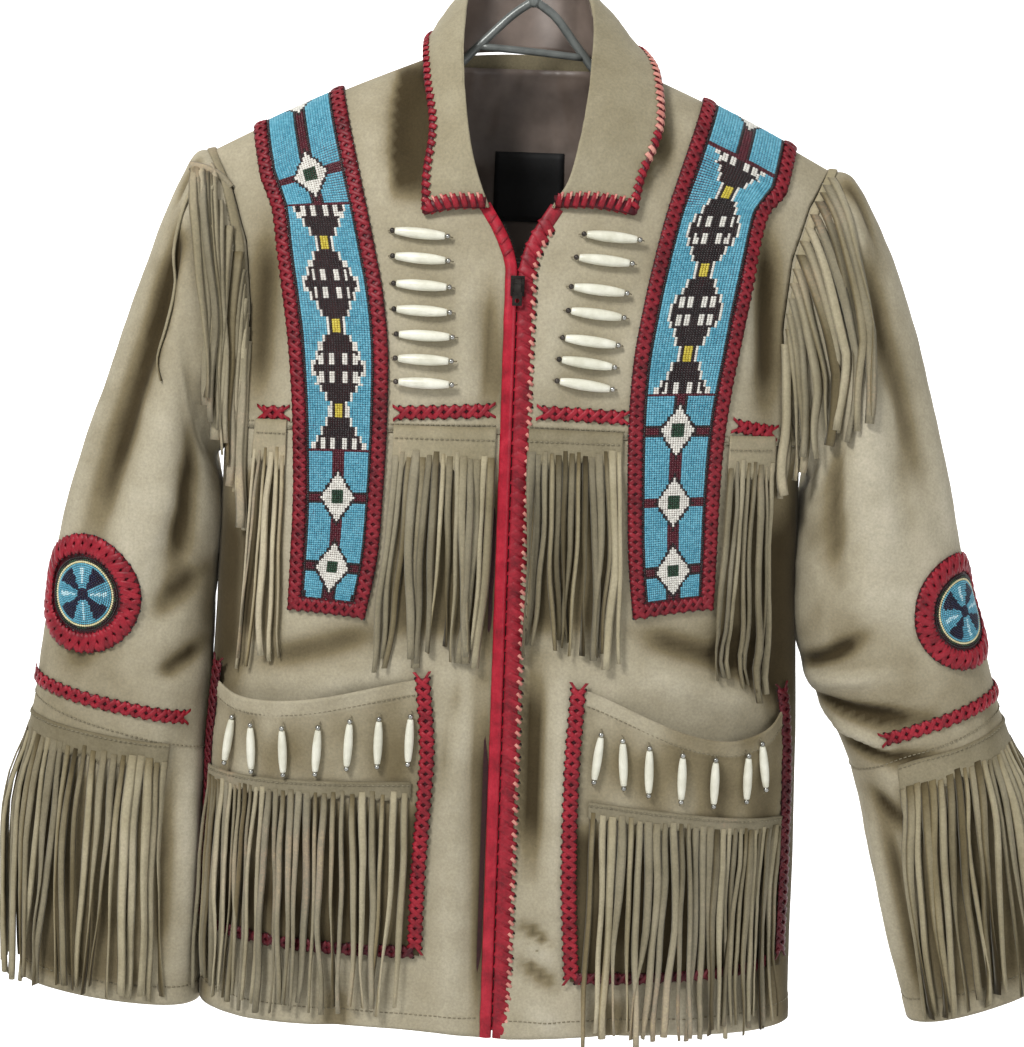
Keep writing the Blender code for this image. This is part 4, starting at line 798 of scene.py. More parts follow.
body_obs = {}
for side in (-1, 1):
    m = Mesh()
    rows, cols = int(54 * FINE), int(44 * FINE)
    pts, nrm, painted_shade_and_tone = [], [], []
    for i in range(rows):
        v = math.sin(math.pi / 2 * i / (rows - 1)) if i < rows - 1 else 1.0
        for j in range(cols):
            x, z = yoke_point(side, j / (cols - 1), v)
            # the yoke laps over the front by its own thickness
            p, n = skin(side * x, z, -1, 0.9 * smooth(YOKE_Z_IN + 26.0, YOKE_Z_IN + 4.0, z))
            pts.append(p)
            nrm.append(n)
            painted_shade_and_tone.append(front_painted_shade(side, x, z))
    shell(m, pts, nrm, rows, cols, LEATHER, side < 0, mat=0, mat_in=1, painted_shade_and_tone=painted_shade_and_tone)
    body_obs["yoke", side] = m.build("yoke_shell_" + WORD[side], [M_SUEDE, M_SUEDE_IN])

    m = Mesh()
    rows, cols = int(96 * FINE), int(64 * FINE)
    pts, nrm, painted_shade_and_tone = [], [], []
    for i in range(rows):
        v = i / (rows - 1)
        zl = lerp(HEM_Z, YOKE_Z_IN - 0.15, v)
        zr = lerp(HEM_Z, UNDERARM_Z, v / 0.94) if v < 0.94 else lerp(UNDERARM_Z, YOKE_Z_OUT - 0.15, (v - 0.94) / 0.06)
        xl = table(FRONT_EDGE, zl, 1)
        tl = t_of(xl, zl)
        tr = 0.9996 if zr <= UNDERARM_Z + 1e-6 else t_of(arm_x(zr, -1), zr)
        for j in range(cols):
            u = j / (cols - 1)
            z = lerp(zl, zr, u)
            x = x_of(lerp(tl, tr, u), z)
            z += (HEM_Z + 2.5 * math.sin(x / 60.0) - z) * (1.0 if i == 0 else 0.0)
            p, n = skin(side * x, z, -1)
            # the turned hem is a little thicker
            hem = smooth(HEM_Z + 17.0, HEM_Z + 14.0, z) * 0.7 - 0.5 * math.exp(-((z - HEM_Z - 15.0) / 1.6) ** 2)
            pts.append(p + n * hem)
            nrm.append(n)
            painted_shade_and_tone.append(front_painted_shade(side, x, z))
    shell(m, pts, nrm, rows, cols, LEATHER, side < 0, mat=0, mat_in=1, painted_shade_and_tone=painted_shade_and_tone)
    body_obs["front", side] = m.build("front_shell_" + WORD[side], [M_SUEDE, M_SUEDE_IN])


def back_top(ax):
    if ax < NECK_X:
        return NECK_Z + NECK_RISE * (1.0 - (ax / NECK_X) ** 2) - 0.002
    return shoulder_z(ax, 1) - 0.002


m = Mesh()
lowr, upr, half = int(56 * FINE), int(56 * FINE), int(40 * FINE)
pts, nrm, painted_shade_and_tone = [], [], []
seq = [(lerp(HEM_Z, UNDERARM_Z, i / (lowr - 1)), 0.0) for i in range(lowr)]
seq += [(None, math.sin(math.pi / 2 * i / upr)) for i in range(1, upr + 1)]
for zrow, v in seq:
    zr = zrow if zrow is not None else lerp(UNDERARM_Z, TIP_Z - 0.002, v)
    xr = arm_x(zr, 1)
    tr = 0.9996 if zr <= UNDERARM_Z + 1e-6 else t_of(xr, zr)
    zc = lerp(UNDERARM_Z, back_top(0.0), v) if zrow is None else zrow
    w = v * v * (3 - 2 * v)
    for j in range(-half, half + 1):
        u = abs(j) / half
        z = lerp(zc, zr, u)
        x = 0.0
        for _ in range(3):
            x = x_of(tr * u, z)
            z = lerp(lerp(zc, zr, u), back_top(x) - (back_top(xr) - zr if v > 0 else 0.0), w)
        if v >= 0.99999:
            z = back_top(x)
        if zrow == HEM_Z:
            z = HEM_Z + 2.5 * math.sin(x / 60.0)
        if abs(j) == half and zr > UNDERARM_Z:
            x, z = xr, zr
        p, n = skin(math.copysign(x, j) if j else 0.0, z, 1)
        hem = smooth(HEM_Z + 17.0, HEM_Z + 14.0, z) * 0.7 - 0.5 * math.exp(-((z - HEM_Z - 15.0) / 1.6) ** 2)
        pts.append(p + n * hem)
        nrm.append(n)
        # painted shade from the back's creases, at less strength
        painted_shade_and_tone.append(0.52 + 0.4 * (crease_shade_of(crease_sum(BACK_CREASES, p.x, p.z)) - 0.5))
shell(m, pts, nrm, len(seq), 2 * half + 1, LEATHER, True, mat=0, mat_in=1, painted_shade_and_tone=painted_shade_and_tone)
back_ob = m.build("back_shell", [M_SUEDE, M_SUEDE_IN])

# ---------------------------------------------------------------- sleeves
# seam above the cuff fringe: ring place at the outer side and at the inner side
CUFF_SEAM = {-1: (8.08, 8.44), 1: (8.38, 8.60)}
CUFF_END = {-1: 124.0, 1: 128.0}


def seam_v(side, deg):
    d = abs((deg + 180.0) % 360.0 - 180.0)
    return lerp(CUFF_SEAM[side][0], CUFF_SEAM[side][1], min(d / 165.0, 1.0))


sleeve_obs = {}
for side in (-1, 1):
    m = Mesh()
    rows, cols = int(150 * FINE), int(96 * FINE)
    pts, nrm, painted_shade_and_tone = [], [], []
    for i in range(rows):
        v = 12.0 * (i / (rows - 1)) ** 1.05
        for j in range(cols):
            phi = 2 * math.pi * j / cols
            p, n = sleeve_at(side, phi, v)
            hem = smooth(11.66, 11.72, v) * 0.6 - 0.5 * math.exp(-((v - 11.66) / 0.03) ** 2)
            # seam above the fringe, and the armhole seam's ridge
            hem += 0.6 * math.exp(-((v - 0.10) / 0.05) ** 2) - 0.8 * math.exp(-((v - 0.02) / 0.03) ** 2)
            seam = seam_v(side, math.degrees(phi))
            hem -= 0.9 * math.exp(-((v - seam) / 0.03) ** 2) - 0.5 * smooth(seam - 0.05, seam - 0.01, v)
            pts.append(p + n * hem)
            nrm.append(n)
            # painted shade: the sleeve's hollows are darker, less so at its back, and a band of painted shade lies
            # under the cuff fringe
            dg = math.degrees(phi)
            dg = (dg + 180.0) % 360.0 - 180.0
            shade = 0.34 * smooth(8.75, 9.1, v) * smooth(11.9, 11.5, v) * smooth(-62.0, -50.0, dg) * smooth(CUFF_END[side], CUFF_END[side] - 12.0, dg)
            lean = sleeve_disp(side, phi, v)
            if side < 0:
                lean -= 6.0 * math.exp(-((180.0 - abs(dg)) / 52.0) ** 2) * smooth(0.8, 2.6, v)
            else:
                lean -= 10.0 * math.exp(-((180.0 - abs(dg)) / 48.0) ** 2) * smooth(0.7, 2.4, v) * smooth(7.0, 5.4, v)
            hind = smooth(-5.0, -45.0, dg) * smooth(-178.0, -140.0, dg)
            painted_shade_and_tone.append(min(max(0.5 + (crease_shade_of(lean) - 0.5) * (1.0 - 0.55 * hind) - shade, 0.0), 1.0))
    shell(m, pts, nrm, rows, cols, LEATHER, side < 0, True, mat=0, mat_in=1, painted_shade_and_tone=painted_shade_and_tone)
    sleeve_obs[side] = m.build("sleeve_shell_" + WORD[side], [M_SUEDE, M_SUEDE_IN])

# ---------------------------------------------------------------- collar
COLLAR = {
    -1: ((24.0, -74.0, -248.0, 71.0, -74.0, -254.0), (32.0, -79.0, -226.0, 71.5, -70.0, -226.0),
         (40.0, -76.0, -196.0, 68.0, -60.0, -190.0), (45.0, -52.0, -152.0, 74.0, -36.0, -152.0),
         (47.0, -16.0, -108.0, 76.0, -6.0, -127.0), (43.0, 24.0, -78.0, 71.0, 35.0, -119.0),
         (25.0, 50.0, -62.0, 45.0, 66.0, -117.0), (0.0, 58.0, -58.0, 0.0, 77.0, -114.0)),
    1: ((24.0, -74.0, -246.0, 85.0, -72.0, -249.0), (36.0, -80.0, -226.0, 90.0, -66.0, -222.0),
        (44.0, -74.0, -190.0, 103.0, -52.0, -184.0), (49.0, -48.0, -150.0, 101.0, -24.0, -146.0),
        (51.0, -14.0, -108.0, 94.0, 2.0, -131.0), (45.0, 24.0, -78.0, 84.0, 34.0, -124.0),
        (26.0, 50.0, -62.0, 48.0, 67.0, -118.0), (0.0, 58.0, -58.0, 0.0, 77.0, -114.0)),
}
COLLAR_BULGE = 4.0
STATION_Q = (0.0, 0.13, 0.29, 0.44, 0.57, 0.72, 0.87, 1.0)


def neckline(side, q):
    if q < 0.57:
        z = lerp(-248.0, NECK_Z - 0.5, q / 0.57)
        return torso(side * table(FRONT_EDGE, z, 1), z, -1)[0]
    x = NECK_X * (1.0 - ((q - 0.57) / 0.43) ** 1.15)
    return torso(side * x, back_top(x), 1)[0]


def collar_section(side, i, q):
    n = neckline(side, q)
    fx, fy, fz, ex, ey, ez = COLLAR[side][i]
    f, e = Vector((side * fx, fy, fz)), Vector((side * ex, ey, ez))
    up = (f - n).normalized()
    n = n + up * 1.9
    fall = e - f
    lift = Vector((fall.z * side * -0.2, -0.5 if e.y < 20 else 0.6, 0.9)).normalized()
    return [n, lerp(n, f, 0.5), lerp(n, f, 0.88), f,
            lerp(f, e, 0.12) + lift * COLLAR_BULGE * 0.45, lerp(f, e, 0.45) + lift * COLLAR_BULGE,
            lerp(f, e, 0.75) + lift * COLLAR_BULGE * 0.6, e]


stations = [collar_section(-1, i, STATION_Q[i]) for i in range(8)]
stations += [collar_section(1, i, STATION_Q[i]) for i in range(6, -1, -1)]


def spline_rows(rows, per):
    out = []
    for i in range(len(rows) - 1):
        a, b, c, d = rows[max(i - 1, 0)], rows[i], rows[i + 1], rows[min(i + 2, len(rows) - 1)]
        for k in range(per):
            q = k / per
            q2, q3 = q * q, q * q * q
            out.append([b[j] * (2 * q3 - 3 * q2 + 1) + (c[j] - a[j]) * 0.5 * (q3 - 2 * q2 + q)
                        + c[j] * (-2 * q3 + 3 * q2) + (d[j] - b[j]) * 0.5 * (q3 - q2) for j in range(len(b))])
    out.append(rows[-1])
    return out


rows = spline_rows(stations, 8)
cross = spline_rows([[r[j] for r in rows] for j in range(8)], 5)
CR, CC = len(rows), len(cross)
pts = [cross[j][i] for i in range(CR) for j in range(CC)]


def grid_normals(pts, rows, cols, ring=False):
    out = []
    for i in range(rows):
        for j in range(cols):
            a, b = pts[i * cols + max(j - 1, 0)], pts[i * cols + min(j + 1, cols - 1)]
            c, d = pts[max(i - 1, 0) * cols + j], pts[min(i + 1, rows - 1) * cols + j]
            n = (b - a).cross(d - c)
            out.append(n.normalized() if n.length > 1e-9 else (out[-1] if out else Vector((0, -1, 0))))
    return out


nrm = grid_normals(pts, CR, CC)
# which way is out: at the middle of the nape the fall looks back
mid = (CR // 2) * CC + int(CC * 0.8)
sign = 1.0 if nrm[mid].y > 0 else -1.0
nrm = [n * sign for n in nrm]
pts2 = []
for i in range(CR):
    for j in range(CC):
        p, n = pts[i * CC + j], nrm[i * CC + j]
        d = 1.3 * noise.noise(Vector((p.x / 26.0, p.y / 30.0 + 4, p.z / 34.0))) + 0.4 * noise.noise(p / 9.0)
        fade = smooth(0, 5, j) * smooth(CC - 1, CC - 5, j)
        pts2.append(p + n * (0.8 + d * fade))
collar_pts, collar_nrm = pts2, nrm
m = Mesh()
shell(m, pts2, nrm, CR, CC, 1.8, sign < 0, mat=0)
collar_ob = m.build("collar_shell", [M_COLLAR])


def collar_edge(i0, i1, inset=0):
    # outer edge of the fall, from the wearer's right tip round to the left
    j = CC - 1 - inset
    pp = [collar_pts[i * CC + j] for i in range(i0, i1)]
    nn = [collar_nrm[i * CC + j] for i in range(i0, i1)]
    return Path(pp, nn)


def collar_front(side):
    # lower front edge of a leaf, from the neck slit to the tip
    i = 0 if side < 0 else CR - 1
    j0 = 15
    pp = [collar_pts[i * CC + j] for j in range(j0, CC)]
    nn = [collar_nrm[i * CC + j] for j in range(j0, CC)]
    return Path(pp, nn)


m = Mesh()
edge = collar_edge(0, CR)
e_dir = 1.0


def inward(path, mesh_mid):
    # sign of `across` that points into the leaf
    p, n, t, a = path.at(path.length * 0.5)
    return 1.0 if (mesh_mid - p).dot(a) > 0 else -1.0


front_l, front_r = collar_front(-1), collar_front(1)
mid_pt = collar_pts[(CR // 2) * CC + CC - 8]
e_dir = inward(edge, mid_pt)
for path, d, s0, s1, sd in ((edge, e_dir, 0.0, edge.length, 5),
                            (front_l, inward(front_l, collar_pts[8 * CC + CC - 8]), 2.0, front_l.length, 6),
                            (front_r, inward(front_r, collar_pts[(CR - 9) * CC + CC - 8]), 2.0, front_r.length, 7)):
    wide = 4.6 if sd == 5 else 9.0
    rws = []
    k = max(int((s1 - s0) / 5.0), 4)
    for i in range(k + 1):
        p, n, t, a = path.at(lerp(s0, s1, i / k))
        rws.append((p + a * d * (wide * 0.5 - 1.2) - n * 0.1, a, n))
    ribbon(m, rws, wide, 0.9, 1, False)
    # the same strip's other half, under the edge
    rws = [(p - a2 * 0.0 - n2 * 2.6, a2, n2) for p, a2, n2 in rws]
    ribbon(m, rws, wide, 0.8, 1, False)
    # painted highlight: along part of the edge some stitches take the pale red
    parts = ((s0, s1, (0, 0, 0)),) if sd != 5 else ((0.0, s1 * 0.70, (0, 0, 0)), (s1 * 0.70, s1 * 0.93, (2, 2, 0)), (s1 * 0.93, s1, (0, 0, 0)))
    for a0, a1, mats in parts:
        whip(m, path, d * (wide + 0.6), d * -1.9, 6.2, 3.2 if sd == 5 else -3.2, 3.8 if sd == 5 else 4.6, a0, a1, 0, sd, 2.6, mats=mats)
    if sd != 5:
        # painted highlight: pale tips where the thongs go through the leaf
        for i in range(int((s1 - s0) / 6.2)):
            s_mid = s0 + 6.2 * (i + 0.5)
            rws = []
            for q in (0.0, 0.5, 1.0):
                p, n, t, a = path.at(s_mid + 1.4 + 1.6 * q)
                rws.append((p + a * (d * (wide - 3.4 + 5.4 * q)) + n * (1.5 - 0.6 * q), t, n))
            ribbon(m, rws, 2.0, 0.9, 2)
lace_collar = m.build("collar_lacing", [M_RED, M_RED_DARK, M_RED_HIGHLIGHT])

# ---------------------------------------------------------------- lining and label
m = Mesh()
R, C = 40, 44
pts, nrm = [], []
for i in range(R):
    z = lerp(-336.0, -138.5, i / (R - 1))
    for j in range(C):
        x = lerp(-1, 1, j / (C - 1)) * lerp(100.0, 62.0, (z + 335.0) / 196.0)
        p, n = torso(x, z, 1)
        d = -4.0 - 3.0 * max((z + 185.0) / 46.0, 0.0) + disp(x, z, 1) * 0.9
        d += -1.6 * abs(noise.noise(Vector((x / 17.0, z / 60.0, 5.0)))) - 0.6 * noise.noise(Vector((x / 8.0, z / 20.0, 2.0)))
        pts.append(p + n * d)
        nrm.append(n)
shell(m, pts, nrm, R, C, 0.7, True, mat=0)
lining_ob = m.build("lining_satin", [M_LINING])
# the collar's stand is faced with the same satin at the nape
m = Mesh()
i0, i1 = int(CR * 0.30), int(CR * 0.70)
pts, nrm = [], []
for i in range(i0, i1):
    for j in range(0, 14):
        p, n = collar_pts[i * CC + j], collar_nrm[i * CC + j]
        side_in = -1.0 if n.dot(Vector((p.x, p.y - 5.0, 0.0))) > 0 else 1.0
        pts.append(p + n * side_in * (2.9 if side_in < 0 else 0.9))
        nrm.append(n * side_in)
facing_n = i1 - i0
shell(m, pts, nrm, facing_n, 14, 0.5, True, mat=0)
facing_ob = m.build("stand_facing_satin", [M_LINING])

m = Mesh()
pts, nrm = [], []
for i in range(12):
    for j in range(14):
        x, z = lerp(-22.0, 34.0, j / 13), lerp(-258.0, -203.0, i / 11)
        p, n = torso(x, z, 1)
        pts.append(p + n * (-6.4 + 0.9 * disp(x, z, 1) - 0.5 * math.sin(j * 0.9)))
        nrm.append(n)
shell(m, pts, nrm, 12, 14, 0.5, True, mat=0)
label_ob = m.build("label_plain", [M_LABEL])

# ---------------------------------------------------------------- bead strips
STRIP = {
    -1: ((-557.0, -554.0, 106.0, 165.0), (-512.0, -512.0, 98.0, 163.5), (-467.0, -470.0, 95.0, 163.0),
         (-410.0, -412.0, 93.0, 165.0), (-356.0, -359.0, 93.5, 169.0), (-318.0, -321.0, 98.0, 174.5),
         (-283.0, -285.0, 106.0, 181.0), (-246.0, -252.0, 115.0, 187.0)),
    1: ((-550.0, -542.0, 95.0, 156.0), (-508.0, -502.0, 90.0, 156.5), (-465.0, -462.0, 87.5, 156.5),
        (-423.0, -421.0, 86.0, 157.5), (-386.0, -384.0, 86.0, 161.0), (-350.0, -347.0, 88.0, 167.0),
        (-313.0, -310.0, 94.0, 173.0), (-275.0, -273.0, 102.0, 180.0), (-240.0, -244.0, 111.0, 187.5)),
}
STRIP_TOP = {-1: (137.0, 205.0), 1: (136.0, 209.0)}
STRIP_OVER = (40.0, 20.0, 8.0, 2.6, 0.5, 0.01)
STRIP_BACK_END = 46.0
STRIP_OUT = 1.1


def strip_table(side):
    # signed drop below the ridge (minus in front) and x, inner and outer
    rows = []
    for zi, zo, xi, xo in STRIP[side]:
        rows.append((-(shoulder_z(xi, -1) - zi), -(shoulder_z(xo, -1) - zo), xi, xo))
    xi, xo = STRIP_TOP[side]
    li, lo = STRIP[side][-1][2], STRIP[side][-1][3]
    hi = shoulder_z(li, -1) - STRIP[side][-1][0]
    for h in STRIP_OVER:
        q = 1.0 - h / hi
        rows.append((-h, -h, lerp(li, xi, q), lerp(lo, xo, q)))
    for h in (0.01, 0.5, 2.6, 8.0, 20.0, STRIP_BACK_END):
        rows.append((h, h, xi, xo))
    return rows


class Strip:
    def __init__(self, side):
        self.side = side
        self.rows = strip_table(side)
        self.n = len(self.rows)
        # length of the middle line against the row number
        self.s, self.r = [0.0], [0.0]
        prev = self.raw(0.5, 0.0)[0]
        steps = 600
        for i in range(1, steps + 1):
            r = (self.n - 1) * i / steps
            p = self.raw(0.5, r)[0]
            self.s.append(self.s[-1] + (p - prev).length)
            self.r.append(r)
            prev = p
        self.length = self.s[-1]

    def raw(self, u, r):
        i = int(min(math.floor(r), self.n - 2))
        q = r - i
        A, B = self.rows[i], self.rows[i + 1]
        # gentle smoothing between the rows
        P, N = self.rows[max(i - 1, 0)], self.rows[min(i + 2, self.n - 1)]
        if A[0] < -42.0 and B[0] < -42.0:
            q2, q3 = q * q, q * q * q
            row = [A[k] * (2 * q3 - 3 * q2 + 1) + (B[k] - P[k]) * 0.5 * (q3 - 2 * q2 + q)
                   + B[k] * (-2 * q3 + 3 * q2) + (N[k] - A[k]) * 0.5 * (q3 - q2) for k in range(4)]
        else:
            row = [lerp(A[k], B[k], q) for k in range(4)]
        d = lerp(row[0], row[1], u)
        x = lerp(row[2], row[3], u)
        face = -1 if d < 0 else 1
        z = shoulder_z(x, face) - abs(d)
        return skin(self.side * x, z, face)

    def row_of(self, s):
        s = min(max(s, 0.0), self.length)
        lo, hi = 0, len(self.s) - 1
        while hi - lo > 1:
            m_ = (lo + hi) // 2
            if self.s[m_] <= s:
                lo = m_
            else:
                hi = m_
        q = (s - self.s[lo]) / max(self.s[hi] - self.s[lo], 1e-9)
        return lerp(self.r[lo], self.r[hi], q)

    def at(self, u, s, out=0.0):
        p, n = self.raw(u, self.row_of(s))
        return p + n * (STRIP_OUT + out), n

    def s_at_z(self, z):
        # front only
        best = min(range(len(self.s)), key=lambda i: abs(self.raw(0.5, self.r[i])[0].z - z) + (0 if self.r[i] < len(STRIP[self.side]) + 5 else 999))
        return self.s[best]

    def width(self, s):
        r = self.row_of(s)
        return (self.raw(1.0, r)[0] - self.raw(0.0, r)[0]).length


TURQ, BLACK, WHITE, MAROON, YELLOW, GREEN, PAD, RED, RED_D = range(9)
BEAD_MATS = [M_TURQ, M_BLACK, M_WHITE, M_MAROON, M_YELLOW, M_GREEN, M_BLACK, M_RED_STRIP, M_RED_DARK]
# heights of the white diamonds, and the ends of the middle field
DIAMONDS = {-1: (-520.0, -467.0, -229.0), 1: (-513.0, -461.0, -408.0)}
FIELD = {-1: (-432.0, -249.0), 1: (-382.0, -205.0)}


def bead_colour(a, b, half, diamonds, field):
    # a: mm from the middle, b: mm along, half: half width of the beadwork
    if abs(a) > half - 2.3:
        return BLACK
    if field[0] < b < field[1]:
        span = (field[1] - field[0]) / 3.0
        u = ((b - field[0]) % span) / span * 2.0 - 1.0
        if min(b - field[0], field[1] - b) < 2.4:
            return MAROON
        step = math.floor(abs(u) * 5.0) / 5.0
        hw = 5.5 + 17.0 * step
        if abs(a) < 3.6 and abs(u) < 0.17:
            return YELLOW
        if abs(a) < hw:
            if 0.66 < abs(u) < 0.92 and (abs(a) % 7.2) > 3.6:
                return WHITE
            return BLACK
        if abs(a) < hw + 2.3:
            return WHITE
        return TURQ
    best = min(diamonds, key=lambda c: abs(b - c))
    db = b - best
    q = abs(a) / 12.8 + abs(db) / 18.5
    if q < 1.0:
        if abs(a) < 4.4 and abs(db) < 4.8:
            return GREEN
        return WHITE
    if q < 1.17:
        return BLACK
    if abs(db) < 2.9 or abs(a) < 3.9:
        return MAROON
    if abs(db) < 3.9 or abs(a) < 4.9:
        return BLACK
    return TURQ


strips = {}
strip_obs = {}
for side in (-1, 1):
    st = Strip(side)
    strips[side] = st
    m = Mesh()
    rnd = random.Random(11 + side)
    # pad
    R, C = 90, 12
    pts, nrm = [], []
    for i in range(R):
        for j in range(C):
            p, n = st.at(j / (C - 1), st.length * i / (R - 1), 1.0)
            pts.append(p)
            nrm.append(n)
    shell(m, pts, nrm, R, C, 1.4, side < 0, mat=RED_D)
    BORDER = 11.0
    dia = [st.s_at_z(z) for z in DIAMONDS[side]]
    # one more diamond lies on the shoulder ridge
    ridge_s = st.s[min(range(len(st.s)), key=lambda i: abs(st.r[i] - (len(STRIP[side]) + 5)))]
    dia.append(ridge_s + 3.0)
    field = (st.s_at_z(FIELD[side][0]), st.s_at_z(FIELD[side][1]))
    pitch_s = 1.7
    k = 27
    s = BORDER + 1.0
    while s < st.length - BORDER:
        w = st.width(s)
        halfw = w / 2 - BORDER
        pitch_a = 2 * halfw / k
        for j in range(k):
            a_mm = (j + 0.5) * (2 * halfw / k) - halfw
            u = 0.5 + a_mm / w
            p, n = st.at(u, s, 1.0)
            p2, _ = st.at(min(u + 0.02, 1.0), s, 1.0)
            a = (p2 - p).normalized()
            t = n.cross(a).normalized()
            col = bead_colour(a_mm, s, halfw, dia, field)
            jit = 0.09
            p = p + a * rnd.uniform(-jit, jit) + t * rnd.uniform(-jit, jit)
            bead_dome(m, p, a, t, n, pitch_a * 0.62, pitch_s * 0.60, 0.95 + rnd.uniform(-0.1, 0.1), col, 6)
        s += pitch_s
    # laced red border all round
    for u_side in (0, 1):
        pp, nn = [], []
        for i in range(160):
            s = st.length * i / 159
            w = st.width(s)
            u = (BORDER * 0.5) / w
            p, n = st.at(u if u_side == 0 else 1.0 - u, s, 1.0)
            pp.append(p)
            nn.append(n)
        lace(m, Path(pp, nn), BORDER * 0.44, 7.2, width=3.6, rise=1.0, mat=RED, seed=20 + side + u_side, base_mat=RED_D, hole=BLACK)
    for s_end in (BORDER * 0.45, st.length - BORDER * 0.45):
        pp, nn = [], []
        for i in range(24):
            p, n = st.at(lerp(0.03, 0.97, i / 23), s_end, 1.1)
            pp.append(p)
            nn.append(n)
        lace(m, Path(pp, nn), BORDER * 0.44, 7.2, width=3.4, rise=1.0, mat=RED, seed=33 + side, base_mat=RED_D, hole=BLACK)
    strip_obs[side] = m.build("beadwork_strip_" + WORD[side], BEAD_MATS)

# ---------------------------------------------------------------- pockets
POCKET = {-1: (56.0, 226.0, -600.0, -616.0, -816.0), 1: (57.0, 220.0, -604.0, -620.0, -832.0)}
POCKET_SAG = {-1: 16.0, 1: 30.0}
POCKET_GAPE = {-1: 12.0, 1: 17.0}
POCKET_OUT = 0.9


def pocket_lift(side, u, v):
    belly = math.sin(math.pi * min(max((u - 0.06) / 0.88, 0.0), 1.0))
    return POCKET_GAPE[side] * belly * max((v - 0.25) / 0.75, 0.0) ** 1.5


def pocket_u(side, x, z):
    # place across the pocket of what lies x from the middle at height z
    xi, xo = POCKET[side][:2]
    return (t_of(x, z) - t_of(xi, zi_of(side))) / (t_of(xo, zi_of(side, True)) - t_of(xi, zi_of(side)))


def zi_of(side, outer=False):
    return POCKET[side][3 if outer else 2]


def pocket_point(side, u, z, out):
    xi, xo, zi, zo, zb = POCKET[side]
    top = lerp(zi, zo, u)
    v = (z - zb) / (top - zb)
    x = x_of(lerp(t_of(xi, zi), t_of(xo, zo), u), z)
    p, n = skin(side * x, z, -1)
    return p + n * (out + pocket_lift(side, u, min(max(v, 0.0), 1.0))), n


def pocket_top(side, u):
    xi, xo, zi, zo, zb = POCKET[side]
    return lerp(zi, zo, u) - POCKET_SAG[side] * math.sin(math.pi * u) ** 1.2


# heights below which each pocket gets painted shade under its fringe's header
POCKET_SHADE = {-1: (-690.0, -697.0), 1: (-701.0, -720.0)}
pocket_obs = {}
for side in (-1, 1):
    m = Mesh()
    xi, xo, zi, zo, zb = POCKET[side]
    R, C = int(70 * FINE), int(60 * FINE)
    pts, nrm, painted_shade_and_tone = [], [], []
    for i in range(R):
        for j in range(C):
            u = j / (C - 1)
            z = lerp(zb, pocket_top(side, u), i / (R - 1))
            ripple = 1.1 * noise.noise(Vector((u * 7 + side, z / 40.0, 4.0))) * smooth(0.0, 0.1, u) * smooth(1.0, 0.9, u)
            rim = 0.6 * smooth(pocket_top(side, u) - 13.0, pocket_top(side, u) - 11.0, z)
            p, n = pocket_point(side, u, z, POCKET_OUT + LEATHER + ripple + rim)
            pts.append(p)
            nrm.append(n)
            # painted shade: ripples and rim, the band under the fringe's header and the outer part of the left pocket
            # are darkened
            zf = lerp(*POCKET_SHADE[side], u)
            painted_shade_and_tone.append(min(max(crease_shade_of(ripple * 2.0 + rim * 2.0 - 1.2) - 0.34 * smooth(zf, zf - 22.0, z)
                               - 0.16 * smooth(0.0, 0.5, u) * (side > 0), 0.0), 1.0))
    shell(m, pts, nrm, R, C, LEATHER, side < 0, mat=0, mat_in=1, painted_shade_and_tone=painted_shade_and_tone)
    for off in (-11.5,):
        pp, nn = [], []
        for j in range(60):
            u = lerp(0.02, 0.98, j / 59)
            p, n = pocket_point(side, u, pocket_top(side, u) + off, POCKET_OUT + LEATHER + 0.2)
            pp.append(p)
            nn.append(n)
        stitches(m, Path(pp, nn), mat=2)
    pocket_obs[side] = m.build("pocket_shell_" + WORD[side], [M_SUEDE, M_SUEDE_IN, M_THREAD])


# ---------------------------------------------------------------- fringes
def strand(mesh, line, width, thick, twist, seed, mat=0):
    # line: rows of (point, across, normal); a cut thong whose tone differs at random from strand to strand, with
    # painted shade on its underside and at its root and a painted highlight along its top
    rnd = random.Random(seed)
    ph = rnd.uniform(0, 6.28)
    tone = rnd.choice((0.30, 0.46, 0.58, 0.68, 0.80)) + rnd.uniform(-0.05, 0.05)
    n = len(line)
    v, painted_shade_and_tone = [], []
    for i, (p, a, u) in enumerate(line):
        q = i / (n - 1)
        ang = twist * q ** 1.2 + 0.3 * math.sin(ph + q * 6.0) * q
        c, s = math.cos(ang), math.sin(ang)
        aa, uu = a * c + u * s, u * c - a * s
        w = width * (1.0 - 0.08 * q + 0.05 * math.sin(ph + 9.0 * q))
        h = thick
        bow = 0.14 * w
        v += [p - aa * w / 2, p - aa * w * 0.24 + uu * (h + bow * 0.4), p + aa * w * 0.24 + uu * (h + bow * 0.4),
              p + aa * w / 2, p - uu * 0.2]
        # painted shade: darker at the root and on the underside, lighter along the top; the sine adds random tone
        tt = tone + 0.12 * math.sin(ph + 4.0 * q) - 0.22 * (1.0 - smooth(0.0, 0.12, q))
        painted_shade_and_tone += [min(max(x, 0.0), 1.0) for x in (tt - 0.20, tt + 0.08, tt + 0.14, tt + 0.02, tt - 0.4)]
    f = []
    k = 5
    for i in range(n - 1):
        for j in range(k):
            j2 = (j + 1) % k
            f.append((i * k + j, (i + 1) * k + j, (i + 1) * k + j2, i * k + j2))
    f.append(tuple(range(k)))
    f.append(tuple((n - 1) * k + j for j in reversed(range(k))))
    mesh.add(v, f, mat, painted_shade_and_tone)


